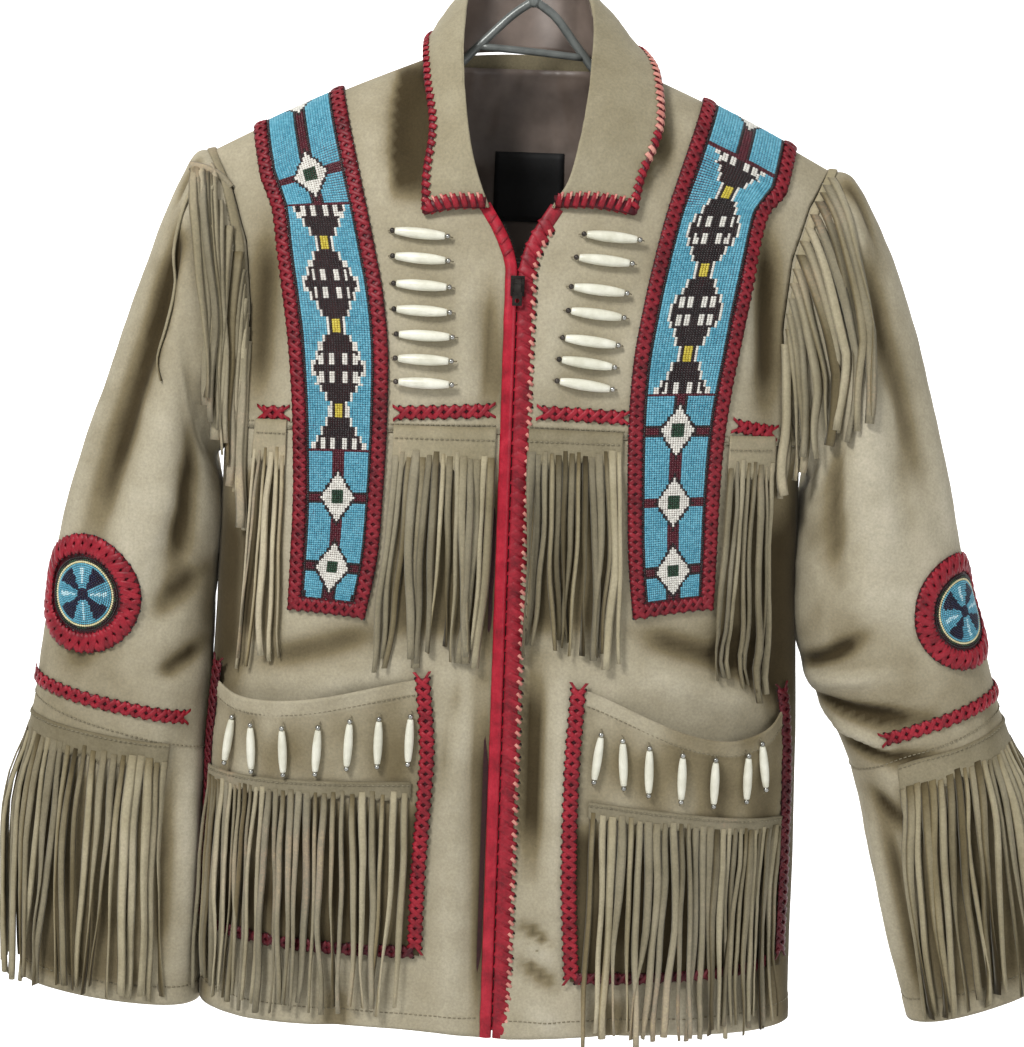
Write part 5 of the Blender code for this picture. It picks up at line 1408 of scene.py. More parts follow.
def hanging_fringe(mesh, count, surface, header, seed, length_of, pitch, spread=0.0, segs=14, wave=1.0, ragged=0.02):
    # surface(u, q) -> point, normal; q 0 at the seam, 1 at the full length
    rnd = random.Random(seed)
    clump = [rnd.uniform(-1, 1) for _ in range(count // 3 + 3)]
    for k in range(count):
        u0 = (k + 0.5) / count
        start = header - ragged * rnd.uniform(0.2, 1.0)
        q1 = length_of(u0) * rnd.uniform(0.95, 1.035)
        amp = rnd.choice((0.4, 1.0, 1.8, 2.6, 3.8)) * wave
        ph, fr = rnd.uniform(0, 6.28), rnd.uniform(2.0, 6.5)
        layer = rnd.choice((0.0, 1.2, 2.4, 3.6))
        drift = rnd.uniform(-1.0, 1.0) * 3.0 + clump[k // 3] * 5.0
        kink, bend = rnd.uniform(0.35, 1.0) * wave, clump[k // 3 + 1] * 2.2 * wave
        width = pitch * rnd.choice((0.78, 0.94, 1.08, 1.2, 1.4))
        twist = rnd.uniform(-0.9, 0.9) if rnd.random() < 0.72 else rnd.choice((-1, 1)) * rnd.uniform(1.4, 2.5)
        line = []
        for i in range(segs + 1):
            q = start + (q1 - start) * i / segs
            du = 0.004
            p, n = surface(u0, q)
            pa, _ = surface(min(u0 + du, 1.0), q)
            pb, _ = surface(max(u0 - du, 0.0), q)
            a = (pa - pb).normalized()
            g = i / segs
            side_mv = amp * math.sin(ph + fr * g) * g ** 0.8 + drift * g ** 1.2 + spread * (u0 - 0.5) * g
            side_mv += kink * math.sin(2.3 * ph + (9.0 + fr) * g) * g ** 0.6 + bend * math.sin(3.6 * g) * smooth(0.0, 0.3, g)
            out = 0.2 + layer * smooth(0.0, 0.22, g) + 1.5 * abs(math.sin(ph * 2 + 3.0 * g)) * g
            line.append((p + a * side_mv + n * out, a, n))
        strand(mesh, line, width, 1.1, twist, seed * 100 + k)


def header_band(mesh, surface, q0, q1, cols, mat=0, thick=1.0, out=0.0, flip=False, ragged=0.0, seed=1):
    rnd = random.Random(seed)
    R = 6
    cut_at = [q1 + ragged * rnd.uniform(-1.0, 1.0) for _ in range(cols)]
    pts, nrm, painted_shade_and_tone = [], [], []
    for i in range(R):
        for j in range(cols):
            p, n = surface(j / (cols - 1), lerp(q0, cut_at[j], i / (R - 1)))
            pts.append(p + n * (out + thick))
            nrm.append(n)
            # painted shade along the seam row of the header
            painted_shade_and_tone.append(0.62 - 0.2 * (i == 0))
    shell(mesh, pts, nrm, R, cols, thick, flip, mat=mat, painted_shade_and_tone=painted_shade_and_tone)


fringe_obs = {}
CHEST = {
    ("inner", -1): (-409.0, -410.0, -586.0, 12.0, 88.0, 16.0, 91.0, -436.0, 15),
    ("outer", -1): (-411.0, -412.0, -600.0, 169.5, 194.0, 171.0, 208.0, -440.0, 6),
    ("inner", 1): (-409.0, -410.0, -580.0, 12.0, 82.0, 16.0, 83.0, -430.0, 14),
    ("outer", 1): (-411.0, -412.0, -608.0, 162.0, 198.0, 162.0, 205.0, -438.0, 8),
}
for (kind, side), (zi, zo, ze, xi, xo, bi, bo, slit, cnt) in CHEST.items():
    def surf(u, q, side=side, zi=zi, zo=zo, ze=ze, xi=xi, xo=xo, bi=bi, bo=bo):
        z = lerp(lerp(zi, zo, u), ze, q)
        x = lerp(lerp(xi, xo, u), lerp(bi, bo, u), min(q, 1.0))
        p, n = skin(side * min(x, table(BODY, z, 1) - 0.5), z, -1, 1.6)
        return p, n
    m = Mesh()
    hq = (zi - slit) / (zi - ze)
    header_band(m, surf, 0.0, hq + 0.02, cnt * 3 + 1, flip=side > 0, ragged=0.03, seed=cnt + side)
    hanging_fringe(m, cnt, surf, hq, 40 + cnt + side, lambda u: 1.0 - 0.03 * math.sin(5 * u), (xo - xi) / cnt,
                   spread=6.0 if kind == "outer" else 5.0, ragged=0.05)
    pp, nn = [], []
    for j in range(30):
        p, n = surf(j / 29, 0.02 + 0.035)
        pp.append(p + n * 1.1)
        nn.append(n)
    stitches(m, Path(pp, nn), mat=1)
    fringe_obs[kind, side] = m.build("chest_fringe_strands_%s_%s" % (kind, WORD[side]), [M_FRINGE, M_THREAD])

PFRINGE = {-1: (-681.0, -688.0, -862.0), 1: (-692.0, -711.0, -876.0)}
for side in (-1, 1):
    zi, zo, ze = PFRINGE[side]

    def surf(u, q, side=side, zi=zi, zo=zo, ze=ze):
        uu = lerp(0.035, 0.93 if side > 0 else 0.95, u)
        z = lerp(lerp(zi, zo, u) - 2.0 * math.sin(math.pi * u), ze, q)
        p, n = pocket_point(side, uu, z, POCKET_OUT + LEATHER + 1.6)
        return p, n
    m = Mesh()
    header_band(m, surf, -0.01, 0.062, 91, flip=side > 0, ragged=0.014, seed=70 + side)
    hanging_fringe(m, 30, surf, 0.05, 70 + side, lambda u: 1.0 + 0.02 * math.sin(4 * u + side), 5.1, spread=0.0, segs=16, ragged=0.02)
    for dq in (0.006,):
        pp, nn = [], []
        for j in range(60):
            p, n = surf(j / 59, dq)
            pp.append(p + n * 1.1)
            nn.append(n)
        stitches(m, Path(pp, nn), mat=1)
    fringe_obs["pocket", side] = m.build("pocket_fringe_strands_" + WORD[side], [M_FRINGE, M_THREAD])

CUFF_FRINGE = {-1: (134.0, -60.0, 8.3, 12.0, -0.10, 0.085), 1: (118.0, -60.0, 8.55, 12.0, 0.34, 0.12)}
for side in (-1, 1):
    a0, a1, v0, v1, turn, slit = CUFF_FRINGE[side]

    def surf(u, q, side=side, a0=a0, a1=a1, v0=v0, v1=v1, turn=turn):
        phi = math.radians(lerp(a0, a1, u)) + turn * q
        p, n = sleeve_at(side, phi, min(lerp(v0, v1, q), 11.9))
        flare = 12.0 * smooth(0.0, 0.42, q) * max(math.cos(phi), 0.0)
        return p + n * (0.5 + flare), n
    m = Mesh()
    header_band(m, surf, 0.0, slit + 0.015, 103, flip=side > 0, ragged=0.016, seed=90 + side)
    hanging_fringe(m, 34, surf, slit, 90 + side, lambda u: 0.955 + 0.015 * math.sin(7 * u), 5.6, spread=0.0, segs=14, ragged=0.03)
    pp, nn = [], []
    for j in range(70):
        p, n = surf(j / 69, 0.012)
        pp.append(p + n * 1.1)
        nn.append(n)
    stitches(m, Path(pp, nn), mat=1)
    fringe_obs["cuff", side] = m.build("sleeve_fringe_strands_" + WORD[side], [M_FRINGE, M_THREAD])

SFRINGE = {
    -1: ((233.0, -390.0, 8), (229.0, -410.0, 20), (223.0, -428.0, 32), (216.0, -452.0, 42), (209.0, -478.0, 52), (201.0, -512.0, 62)),
    1: ((268.0, -392.0, 8), (258.0, -402.0, 20), (245.0, -410.0, 32), (231.0, -420.0, 42), (215.0, -440.0, 52), (204.0, -470.0, 62)),
}
for side in (-1, 1):
    tree = tree_of([sleeve_obs[side], body_obs["yoke", side], body_obs["front", side]])
    m = Mesh()
    rnd = random.Random(120 + side)
    cnt = 16 if side < 0 else 15
    tab = SFRINGE[side]
    tops, last = [], 1000.0
    for xe, ze, deg in tab:
        z0 = lerp(TIP_Z, UNDERARM_Z, (1 - math.cos(math.radians(deg * 1.75))) / 2)
        last = min(arm_x(z0, -1) + 4.0, last - 3.0)
        tops.append((last, z0))
    if side < 0:
        tops[:3] = [(250.0, -222.0), (243.0, -226.0), (234.0, -232.0)]
    for k in range(cnt):
        f = (k + 0.3) / cnt * (len(tab) - 1)
        i = min(int(f), len(tab) - 2)
        q = f - i
        xe, ze = [lerp(tab[i][c], tab[i + 1][c], q) for c in range(2)]
        x0, z0 = [lerp(tops[i][c], tops[i + 1][c], q) for c in range(2)]
        xe += rnd.uniform(-2.5, 2.5)
        ze += rnd.uniform(-8, 7)
        layer = rnd.choice((0.0, 1.3, 2.6, 3.9))
        y = 1e9
        line = []
        segs = 18
        ph = rnd.uniform(0, 6.28)
        amp = rnd.uniform(0.8, 3.6)
        fr = rnd.uniform(2.5, 6.0)
        prev = None
        for s in range(segs + 1):
            g = (s / segs) ** 1.2
            x = lerp(x0, xe, min(g * 1.6, 1.0) ** 0.8) + amp * math.sin(ph + fr * g) * g + 1.1 * math.sin(2.1 * ph + 11.0 * g) * g ** 0.7
            z = lerp(z0, ze, g)
            hit = tree.ray_cast(Vector((side * x, -400.0, z)), Vector((0, 1, 0)))
            hy = hit[0].y if hit[0] is not None else 10.0
            target = hy - 1.6 - layer * smooth(0.0, 0.2, g)
            y = min(y, target) if s else target
            p = Vector((side * x, y, z))
            t = (p - prev).normalized() if prev is not None else Vector((0, 0, -1))
            n = Vector((side * 0.25, -1, 0.1)).normalized()
            n = (n - t * n.dot(t)).normalized()
            line.append((p, n.cross(t).normalized(), n))
            prev = p
        twist = rnd.uniform(-0.8, 0.8) if k % 4 else rnd.choice((-1, 1)) * rnd.uniform(1.2, 2.2)
        strand(m, line, rnd.uniform(6.2, 9.8), 1.2, twist, 3000 + k + side)
    if side < 0:
        # one thin thong strays over the sleeve, and a strap is knotted through a hole by the seam
        pts = ((246.0, -238.0), (254.0, -262.0), (259.0, -290.0), (257.0, -318.0), (262.0, -345.0), (268.0, -368.0), (264.0, -385.0))
        line, prev = [], None
        for x, z in [tuple(v[0]) for v in spline_rows([[Vector(q)] for q in pts], 4)]:
            hit = tree.ray_cast(Vector((side * x, -400.0, z)), Vector((0, 1, 0)))
            p = Vector((side * x, hit[0].y - 1.8 if hit[0] is not None else 0.0, z))
            t = (p - prev).normalized() if prev is not None else Vector((0, 0, -1))
            n = Vector((-0.3, -1, 0)).normalized()
            n = (n - t * n.dot(t)).normalized()
            line.append((p, n.cross(t).normalized(), n))
            prev = p
        strand(m, line, 3.4, 1.1, 1.6, 3900)
        for pts, wd in ((((252.0, -224.0), (240.0, -226.0), (228.0, -232.0), (219.0, -241.0)), 7.0),
                        (((236.0, -224.0), (232.0, -233.0), (234.0, -243.0)), 6.0)):
            line, prev = [], None
            for x, z in [tuple(v[0]) for v in spline_rows([[Vector(q)] for q in pts], 5)]:
                hit = tree.ray_cast(Vector((side * x, -400.0, z)), Vector((0, 1, 0)))
                p = Vector((side * x, hit[0].y - 2.2 if hit[0] is not None else 0.0, z))
                t = (p - prev).normalized() if prev is not None else Vector((0.9, 0, -0.1)).normalized()
                n = Vector((0, -1, 0.2)).normalized()
                n = (n - t * n.dot(t)).normalized()
                line.append((p, n.cross(t).normalized(), n))
                prev = p
            strand(m, line, wd, 1.6, 0.3, 3950)
    # folded header along the seam
    rws = []
    for s in range(26):
        ang = math.radians(lerp(-10.0, 112.0, s / 25))
        p, n = sleeve_at(side, ang, 0.13, 0.8)
        pa, _ = sleeve_at(side, ang, 0.05, 0.8)
        a = (p - pa).normalized()
        rws.append((p, a, n))
    ribbon(m, rws, 7.5, 1.3, 0)
    fringe_obs["shoulder", side] = m.build("shoulder_fringe_strands_" + WORD[side], [M_FRINGE])

# ---------------------------------------------------------------- rosettes
ROSETTE = {-1: (-551.0, 64.0, 46.0), 1: (-543.0, 40.0, 45.0)}
SPOKES, ROS_STEP = 72, 2.0


class Disc:
    """round patch laid on a sleeve by walking out from its middle"""

    def __init__(self, side, phi, v, rad):
        self.rows = []
        steps = int(rad / ROS_STEP) + 2
        for k in range(SPOKES):
            ang = 2 * math.pi * k / SPOKES
            f, w = phi, v
            p, n = sleeve_at(side, f, w, 0.0, True)
            up = (Vector((0, 0, 1)) - n * n.z).normalized()
            d = up.cross(n) * math.cos(ang) + up * math.sin(ang)
            spoke = [sleeve_at(side, f, w, 1.2)]
            for _ in range(steps):
                a = (sleeve(side, f + 0.02, w) - sleeve(side, f - 0.02, w)) / 0.04
                b = (sleeve(side, f, w + 0.02) - sleeve(side, f, w - 0.02)) / 0.04
                aa, ab, bb, da, db = a.dot(a), a.dot(b), b.dot(b), d.dot(a), d.dot(b)
                det = aa * bb - ab * ab
                f += ROS_STEP * (da * bb - db * ab) / det
                w += ROS_STEP * (db * aa - da * ab) / det
                _, n = sleeve_at(side, f, w, 0.0, True)
                d = (d - n * d.dot(n)).normalized()
                spoke.append(sleeve_at(side, f, w, 1.2))
            self.rows.append(spoke)

    def at(self, r, ang, out=0.0):
        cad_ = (ang / (2 * math.pi) * SPOKES) % SPOKES
        k = int(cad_) % SPOKES
        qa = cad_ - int(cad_)
        i = min(int(r / ROS_STEP), len(self.rows[0]) - 2)
        qr = r / ROS_STEP - i
        A, B = self.rows[k], self.rows[(k + 1) % SPOKES]
        p = A[i][0].lerp(A[i + 1][0], qr).lerp(B[i][0].lerp(B[i + 1][0], qr), qa)
        n = A[i][1].lerp(A[i + 1][1], qr).lerp(B[i][1].lerp(B[i + 1][1], qr), qa).normalized()
        return p + n * out, n


def ring_at(side, phi, z):
    # ring place at which the sleeve's line at this angle passes the height z
    lo, hi = 2.0, 12.0
    for _ in range(30):
        mid = (lo + hi) / 2
        if sleeve(side, phi, mid).z > z:
            lo = mid
        else:
            hi = mid
    return (lo + hi) / 2


ros_obs = {}
for side in (-1, 1):
    zc, deg, rad = ROSETTE[side]
    vc = ring_at(side, math.radians(deg), zc)
    patch = Disc(side, math.radians(deg), vc, rad)
    m = Mesh()
    # felt under the beadwork, and the leather ring
    v, f = [], []
    R, S = 12, 72
    for i in range(R + 1):
        for k in range(S):
            p, n = patch.at(rad * max(i / R, 0.01), 2 * math.pi * k / S, 0.4 if i < R else -1.0)
            v.append(p)
    for i in range(R):
        for k in range(S):
            k2 = (k + 1) % S
            f.append((i * S + k, (i + 1) * S + k, (i + 1) * S + k2, i * S + k2))
    m.add(v, f, 8)
    disc = 29.5
    rings = int(disc / 1.75)
    rnd = random.Random(200 + side)
    for i in range(rings + 1):
        r = i * 1.75 + 0.2
        cnt = max(int(2 * math.pi * r / 1.75), 1)
        for k in range(cnt):
            ang = 2 * math.pi * (k + 0.5 * (i % 2)) / cnt
            p, n = patch.at(r, ang, 0.5)
            p2, _ = patch.at(r + 0.5, ang, 0.5)
            t = (p2 - p).normalized()
            a = n.cross(t).normalized()
            if r > disc - 1.8:
                col = 3
            elif r > disc - 3.6:
                col = 5 if (k // 4) % 2 else 3
            elif r > disc - 5.6:
                col = 2
            else:
                # four flared arms, pale lights between them
                w = (math.degrees(ang) - 55.0 - 6.0 * side) % 90.0
                w = min(w, 90.0 - w)
                if r < 4.0:
                    col = 0
                elif r < 22.6 and w < 13.0 + 6.5 * smooth(4.0, 21.0, r):
                    col = 0
                elif w > 40.0 and 6.0 < r < 20.0:
                    col = 4
                else:
                    col = 1
            bead_dome(m, p, a, t, n, 0.98, 0.94, 1.05, col, 6)
    # laced ring
    pp, nn = [], []
    for k in range(145):
        p, n = patch.at((disc + rad) / 2 + 0.6, 2 * math.pi * k / 144, 0.6)
        pp.append(p)
        nn.append(n)
    lace(m, Path(pp, nn), (rad - disc) * 0.45, 8.0, width=5.4, rise=1.3, mat=6, seed=210 + side, base_mat=7, hole=3)
    ros_obs[side] = m.build("rosette_beads_" + WORD[side],
                            [M_NAVY, M_TURQ, M_CREAM, M_BLACK, M_PALE, M_GREEN, M_RED, M_RED_DARK, M_RED_DARK])

# ---------------------------------------------------------------- edge bindings, lacings on the fronts
bind_obs = {}


def edge_frame(side, z):
    p, n = skin(side * table(FRONT_EDGE, z, 1), z, -1)
    a, _ = skin(side * table(FRONT_EDGE, z - 3.0, 1), z - 3.0, -1)
    b, _ = skin(side * table(FRONT_EDGE, z + 3.0, 1), z + 3.0, -1)
    t = (b - a).normalized()
    d = n.cross(t).normalized()
    if d.x * side < 0:
        d = -d
    return p, n, d


for side in (-1, 1):
    m = Mesh()
    zs = [HEM_Z + 0.5 + (633.0) * k / 130 for k in range(131)]
    rings = []
    lip = 6.4 if side < 0 else 8.2
    v = []
    for z in zs:
        p, n, d = edge_frame(side, z)
        wob = 0.35 * noise.noise(Vector((z / 14.0, side * 3.0, 0.0)))
        sec = ((lip + wob, 0.1), (lip - 0.4 + wob, 0.9), (lip * 0.5, 1.75), (0.2, 1.9), (-2.0, 1.2), (-2.6, 0.0), (-2.6, -1.6),
               (-1.8, -3.0), (lip, -3.0), (lip, -2.0), (-0.4, -2.0), (-0.4, 0.1))
        v += [p + d * a + n * b for a, b in sec]
    k = 12
    f = []
    for i in range(len(zs) - 1):
        for j in range(k):
            j2 = (j + 1) % k
            q = (i * k + j, i * k + j2, (i + 1) * k + j2, (i + 1) * k + j)
            f.append(q if side < 0 else q[::-1])
    m.add(v, f, 0)
    pp, nn = [], []
    for z in zs:
        p, n, d = edge_frame(side, z)
        pp.append(p)
        nn.append(n)
    path = Path(pp, nn)
    p, n, t, a = path.at(100.0)
    _, _, d = edge_frame(side, zs[20])
    sg = 1.0 if a.dot(d) > 0 else -1.0
    if side > 0:
        # slanting stitches over the wearer's left edge, with punched holes beside them
        whip(m, path, sg * (lip + 1.4), sg * -2.2, 9.8, 6.4, 7.6, 2.0, path.length - 2.0, 1, 61, 0.6, mats=(1, 1, 1))
        cnt = int((path.length - 4.0) / 9.8)
        for i in range(cnt):
            s = (i + 0.5) * 9.8 + 2.0
            # painted highlight on the pale end of the thong, and a dark dome of painted shade at the punched hole it
            # goes down
            rws = []
            for q in (0.0, 0.5, 1.0):
                p, n, t, a = path.at(s - 5.4 + 3.6 * q)
                dirn = (t * 3.6 - a * (sg * 3.6)).normalized()
                rws.append((p + a * (sg * (lip + 2.6 - 3.6 * q)) + n * (1.1 + 1.0 * q), n.cross(dirn).normalized(), n))
            ribbon(m, rws, 2.6, 0.8, 2)
            p, n, t, a = path.at(s - 1.4)
            dirn = (t * -0.7 + a * (sg * 0.7)).normalized()
            bead_dome(m, p + a * sg * (lip + 2.4) + n * 0.4, dirn, n.cross(dirn).normalized(), n, 2.6, 1.1, 0.5, 3, 6)
    else:
        whip(m, path, sg * (lip - 1.0), sg * -2.2, 9.5, 4.0, 2.4, path.length - 45.0, path.length - 2.0, 1, 62, 0.6)
    bind_obs[side] = m.build("edge_binding_" + WORD[side], [M_RED_SMOOTH if side < 0 else M_RED, M_RED, M_RED_HIGHLIGHT, M_HOLE_SHADE])

m = Mesh()
# red cross lacing under the chest beads, beside the strips and down the pockets' sides
YOKE_LACE = ((-1, 18.0, 84.0, -397.0, -401.0), (1, 22.0, 82.0, -397.0, -399.0),
             (-1, 172.0, 189.0, -406.0, -407.0), (1, 168.0, 196.0, -404.0, -409.0))
for k, (side, xa, xb, za, zb) in enumerate(YOKE_LACE):
    pp, nn = [], []
    for i in range(30):
        q = i / 29
        p, n = skin(side * lerp(xa, xb, q), lerp(za, zb, q), -1, 0.9)
        pp.append(p)
        nn.append(n)
    lace(m, Path(pp, nn), 4.6, 8.4, width=3.9, rise=1.2, mat=0, seed=300 + k, base_mat=1, hole=2, ends=True)
def lay(side, x, z, out):
    # a place on the front, lifted with the pocket where the pocket is
    xi, xo, zi, zo, zb = POCKET[side]
    x = min(x, table(BODY, z, 1) - 1.2)
    u = (t_of(x, z) - t_of(xi, zi)) / (t_of(xo, zo) - t_of(xi, zi))
    p, n = skin(side * x, z, -1)
    v = (z - zb) / (lerp(zi, zo, min(max(u, 0.0), 1.0)) - zb)
    return p + n * (out + pocket_lift(side, u, min(max(v, 0.0), 1.0))), n


POCKET_LACE = (
    (-1, ((61.0, -600.0), (56.0, -651.0), (57.0, -692.0), (60.0, -753.0), (61.0, -810.0)), 5.2),
    (-1, ((220.0, -604.0), (226.0, -660.0), (230.0, -730.0), (232.0, -807.0)), 6.2),
    (1, ((56.0, -604.0), (53.0, -667.0), (54.0, -749.0), (59.0, -829.0)), 5.4),
    (1, ((215.0, -609.0), (220.0, -680.0), (223.0, -750.0), (224.0, -821.0)), 6.4),
    (-1, ((62.0, -813.0), (140.0, -814.0), (222.0, -812.0)), 4.2),
    (1, ((62.0, -829.0), (140.0, -829.0), (214.0, -826.0)), 4.2),
)
# the outer pocket lacings take the dark red as painted shade, on the sides turned away from the light; the bottom
# lacings take the dark red too
for k, (side, pts, w) in enumerate(POCKET_LACE):
    line = [v[0] for v in spline_rows([[Vector(q)] for q in pts], 14)]
    pp, nn = [], []
    for q in line:
        p, n = lay(side, q[0], q[1], POCKET_OUT + LEATHER + 0.5)
        pp.append(p)
        nn.append(n)
    lace(m, Path(pp, nn), w, 8.2, width=3.9, rise=1.3, mat=0 if k in (0, 2) else 3, seed=320 + k, base_mat=1, hole=2, ends=k < 4)
# sleeve bands
BAND = {-1: (7.80, 14.0, 7.85, 143.0), 1: (8.05, -10.0, 8.05, 119.0)}
for side in (-1, 1):
    va, a0, vb, a1 = BAND[side]
    pp, nn = [], []
    for i in range(70):
        q = i / 69
        p, n = sleeve_at(side, math.radians(lerp(a0, a1, q)), lerp(va, vb, q), 0.5)
        pp.append(p)
        nn.append(n)
    lace(m, Path(pp, nn), 4.8, 8.0, width=3.9, rise=1.2, mat=0, seed=340 + side, base_mat=1, hole=2, ends=True)
lacing_ob = m.build("red_cross_lacing", [M_RED, M_RED_DARK, M_HOLE_SHADE, M_RED_DARK])

# ---------------------------------------------------------------- topstitching
m = Mesh()
for side in (-1, 1):
    for off in (1.6, 6.2):
        pp, nn = [], []
        for i in range(80):
            u = i / 79
            zl, zr = YOKE_Z_IN + off, YOKE_Z_OUT + off
            tl, tr = t_of(12.0, zl), t_of(arm_x(zr, -1) - 3.0, zr)
            z = lerp(zl, zr, u)
            x = x_of(lerp(tl, tr, u), z)
            p, n = skin(side * x, z, -1, 1.0)
            pp.append(p)
            nn.append(n)
        stitches(m, Path(pp, nn))
    pp, nn = [], []
    for i in range(80):
        u = i / 79
        z = HEM_Z + 15.0
        x = x_of(lerp(t_of(12.0, z), 0.985, u), z)
        p, n = skin(side * x, z, -1, -0.2)
        pp.append(p)
        nn.append(n)
    stitches(m, Path(pp, nn))
    for vv in (11.66, None, 0.22):
        pp, nn = [], []
        for i in range(97):
            p, n = sleeve_at(side, 2 * math.pi * i / 96, seam_v(side, 3.75 * i) - 0.06 if vv is None else vv, 0.0)
            pp.append(p)
            nn.append(n)
        stitches(m, Path(pp, nn))
pp, nn = [], []
for i in range(120):
    z = HEM_Z + 15.0
    t = lerp(-0.985, 0.985, i / 119)
    p, n = skin(math.copysign(x_of(abs(t), z), t), z, 1, -0.2)
    pp.append(p)
    nn.append(n)
stitches(m, Path(pp, nn))
stitch_ob = m.build("topstitching", [M_THREAD])

# ---------------------------------------------------------------- zip
m = Mesh()
ZB = LEATHER + 1.9
for side in (-1, 1):
    pts, nrm = [], []
    zs = [HEM_Z + 3.0 + 8.0 * k for k in range(73)] + [-290.0, -284.0, -278.0, -272.0, -266.0, -260.0, -256.0]
    for z in zs:
        p, n, d = edge_frame(side, z)
        for u in (-2.2, 1.0, 5.0, 10.5):
            pts.append(p + d * u - n * ZB)
            nrm.append(n)
    shell(m, pts, nrm, len(zs), 4, 0.7, side < 0, mat=0)
    # teeth, closed below the slider and parted above it
    z = HEM_Z + 6.0
    k = 0
    while z < -262.0:
        if (k % 2 == 0) == (side < 0) or z > -296.0:
            p, n, d = edge_frame(side, z)
            c = p - d * (2.6 if z < -296.0 else 2.4) - n * (ZB - 0.2)
            w = 1.7
            v = [c + d * (w * sx) + Vector((0, 0, 0.75 * sz)) + n * (0.9 * sn)
                 for sx in (-1, 1) for sz in (-1, 1) for sn in (-1, 1)]
            m.add(v, [(0, 1, 3, 2), (4, 6, 7, 5), (0, 4, 5, 1), (2, 3, 7, 6), (0, 2, 6, 4), (1, 5, 7, 3)], 1)
        z += 1.3 if z < -296.0 else 2.6
        k += 1
zip_ob = m.build("zip_tapes_and_teeth", [M_TAPE, M_METAL], False)

# ---------------------------------------------------------------- bone beads
CHEST_BEADS = {
    -1: ((-73.0, -269.5, 4.0), (-72.0, -287.5, 3.0), (-70.5, -307.0, 2.0), (-69.5, -325.5, 1.5),
         (-67.0, -343.5, 1.0), (-67.0, -361.0, 1.0), (-66.0, -378.0, 1.0)),
    1: ((68.0, -267.5, 4.0), (63.0, -284.5, 4.5), (60.0, -306.0, 5.0), (58.5, -323.5, 5.5),
        (55.0, -343.5, 6.0), (53.0, -359.5, 6.5), (52.0, -375.5, 7.0)),
}
POCKET_BEADS = {
    -1: ((204.0, -660.0, 9.0), (186.0, -663.0, -1.0), (162.0, -662.0, -2.0), (137.0, -659.0, 3.0),
         (114.0, -653.0, 2.0), (92.0, -650.0, 0.0), (69.0, -647.0, 1.0)),
    1: ((72.0, -656.0, 7.0), (91.0, -660.0, -3.0), (110.0, -665.0, -1.0), (134.0, -670.0, -1.0),
        (158.0, -674.0, -1.0), (182.0, -672.0, -2.0), (194.0, -664.0, -9.0)),
}


def turned(mesh, c, along, prof, mat, sides=16):
    along = along.normalized()
    a = along.cross(Vector((0, 1, 0))).normalized()
    b = along.cross(a)
    v = []
    for s, r in prof:
        v += [c + along * s + (a * math.cos(2 * math.pi * k / sides) + b * math.sin(2 * math.pi * k / sides)) * r
              for k in range(sides)]
    f = []
    for i in range(len(prof) - 1):
        for k in range(sides):
            k2 = (k + 1) % sides
            f.append((i * sides + k, i * sides + k2, (i + 1) * sides + k2, (i + 1) * sides + k))
    f.append(tuple(reversed(range(sides))))
    f.append(tuple((len(prof) - 1) * sides + k for k in range(sides)))
    mesh.add(v, f, mat)


def pipe_profile(half, rmax, rend):
    rows = [(-half, rend * 0.55), (-half + 0.25, rend * 0.9)]
    for i in range(13):
        q = -1 + 2 * i / 12
        rows.append((q * (half - 0.5), rend + (rmax - rend) * (1 - abs(q) ** 2.2)))
    rows += [(half - 0.25, rend * 0.9), (half, rend * 0.55)]
    return rows


def ball_profile(c, r, squash=1.0):
    return [(c - r * squash * math.cos(math.pi * i / 8), max(r * math.sin(math.pi * i / 8), 0.25)) for i in range(9)]


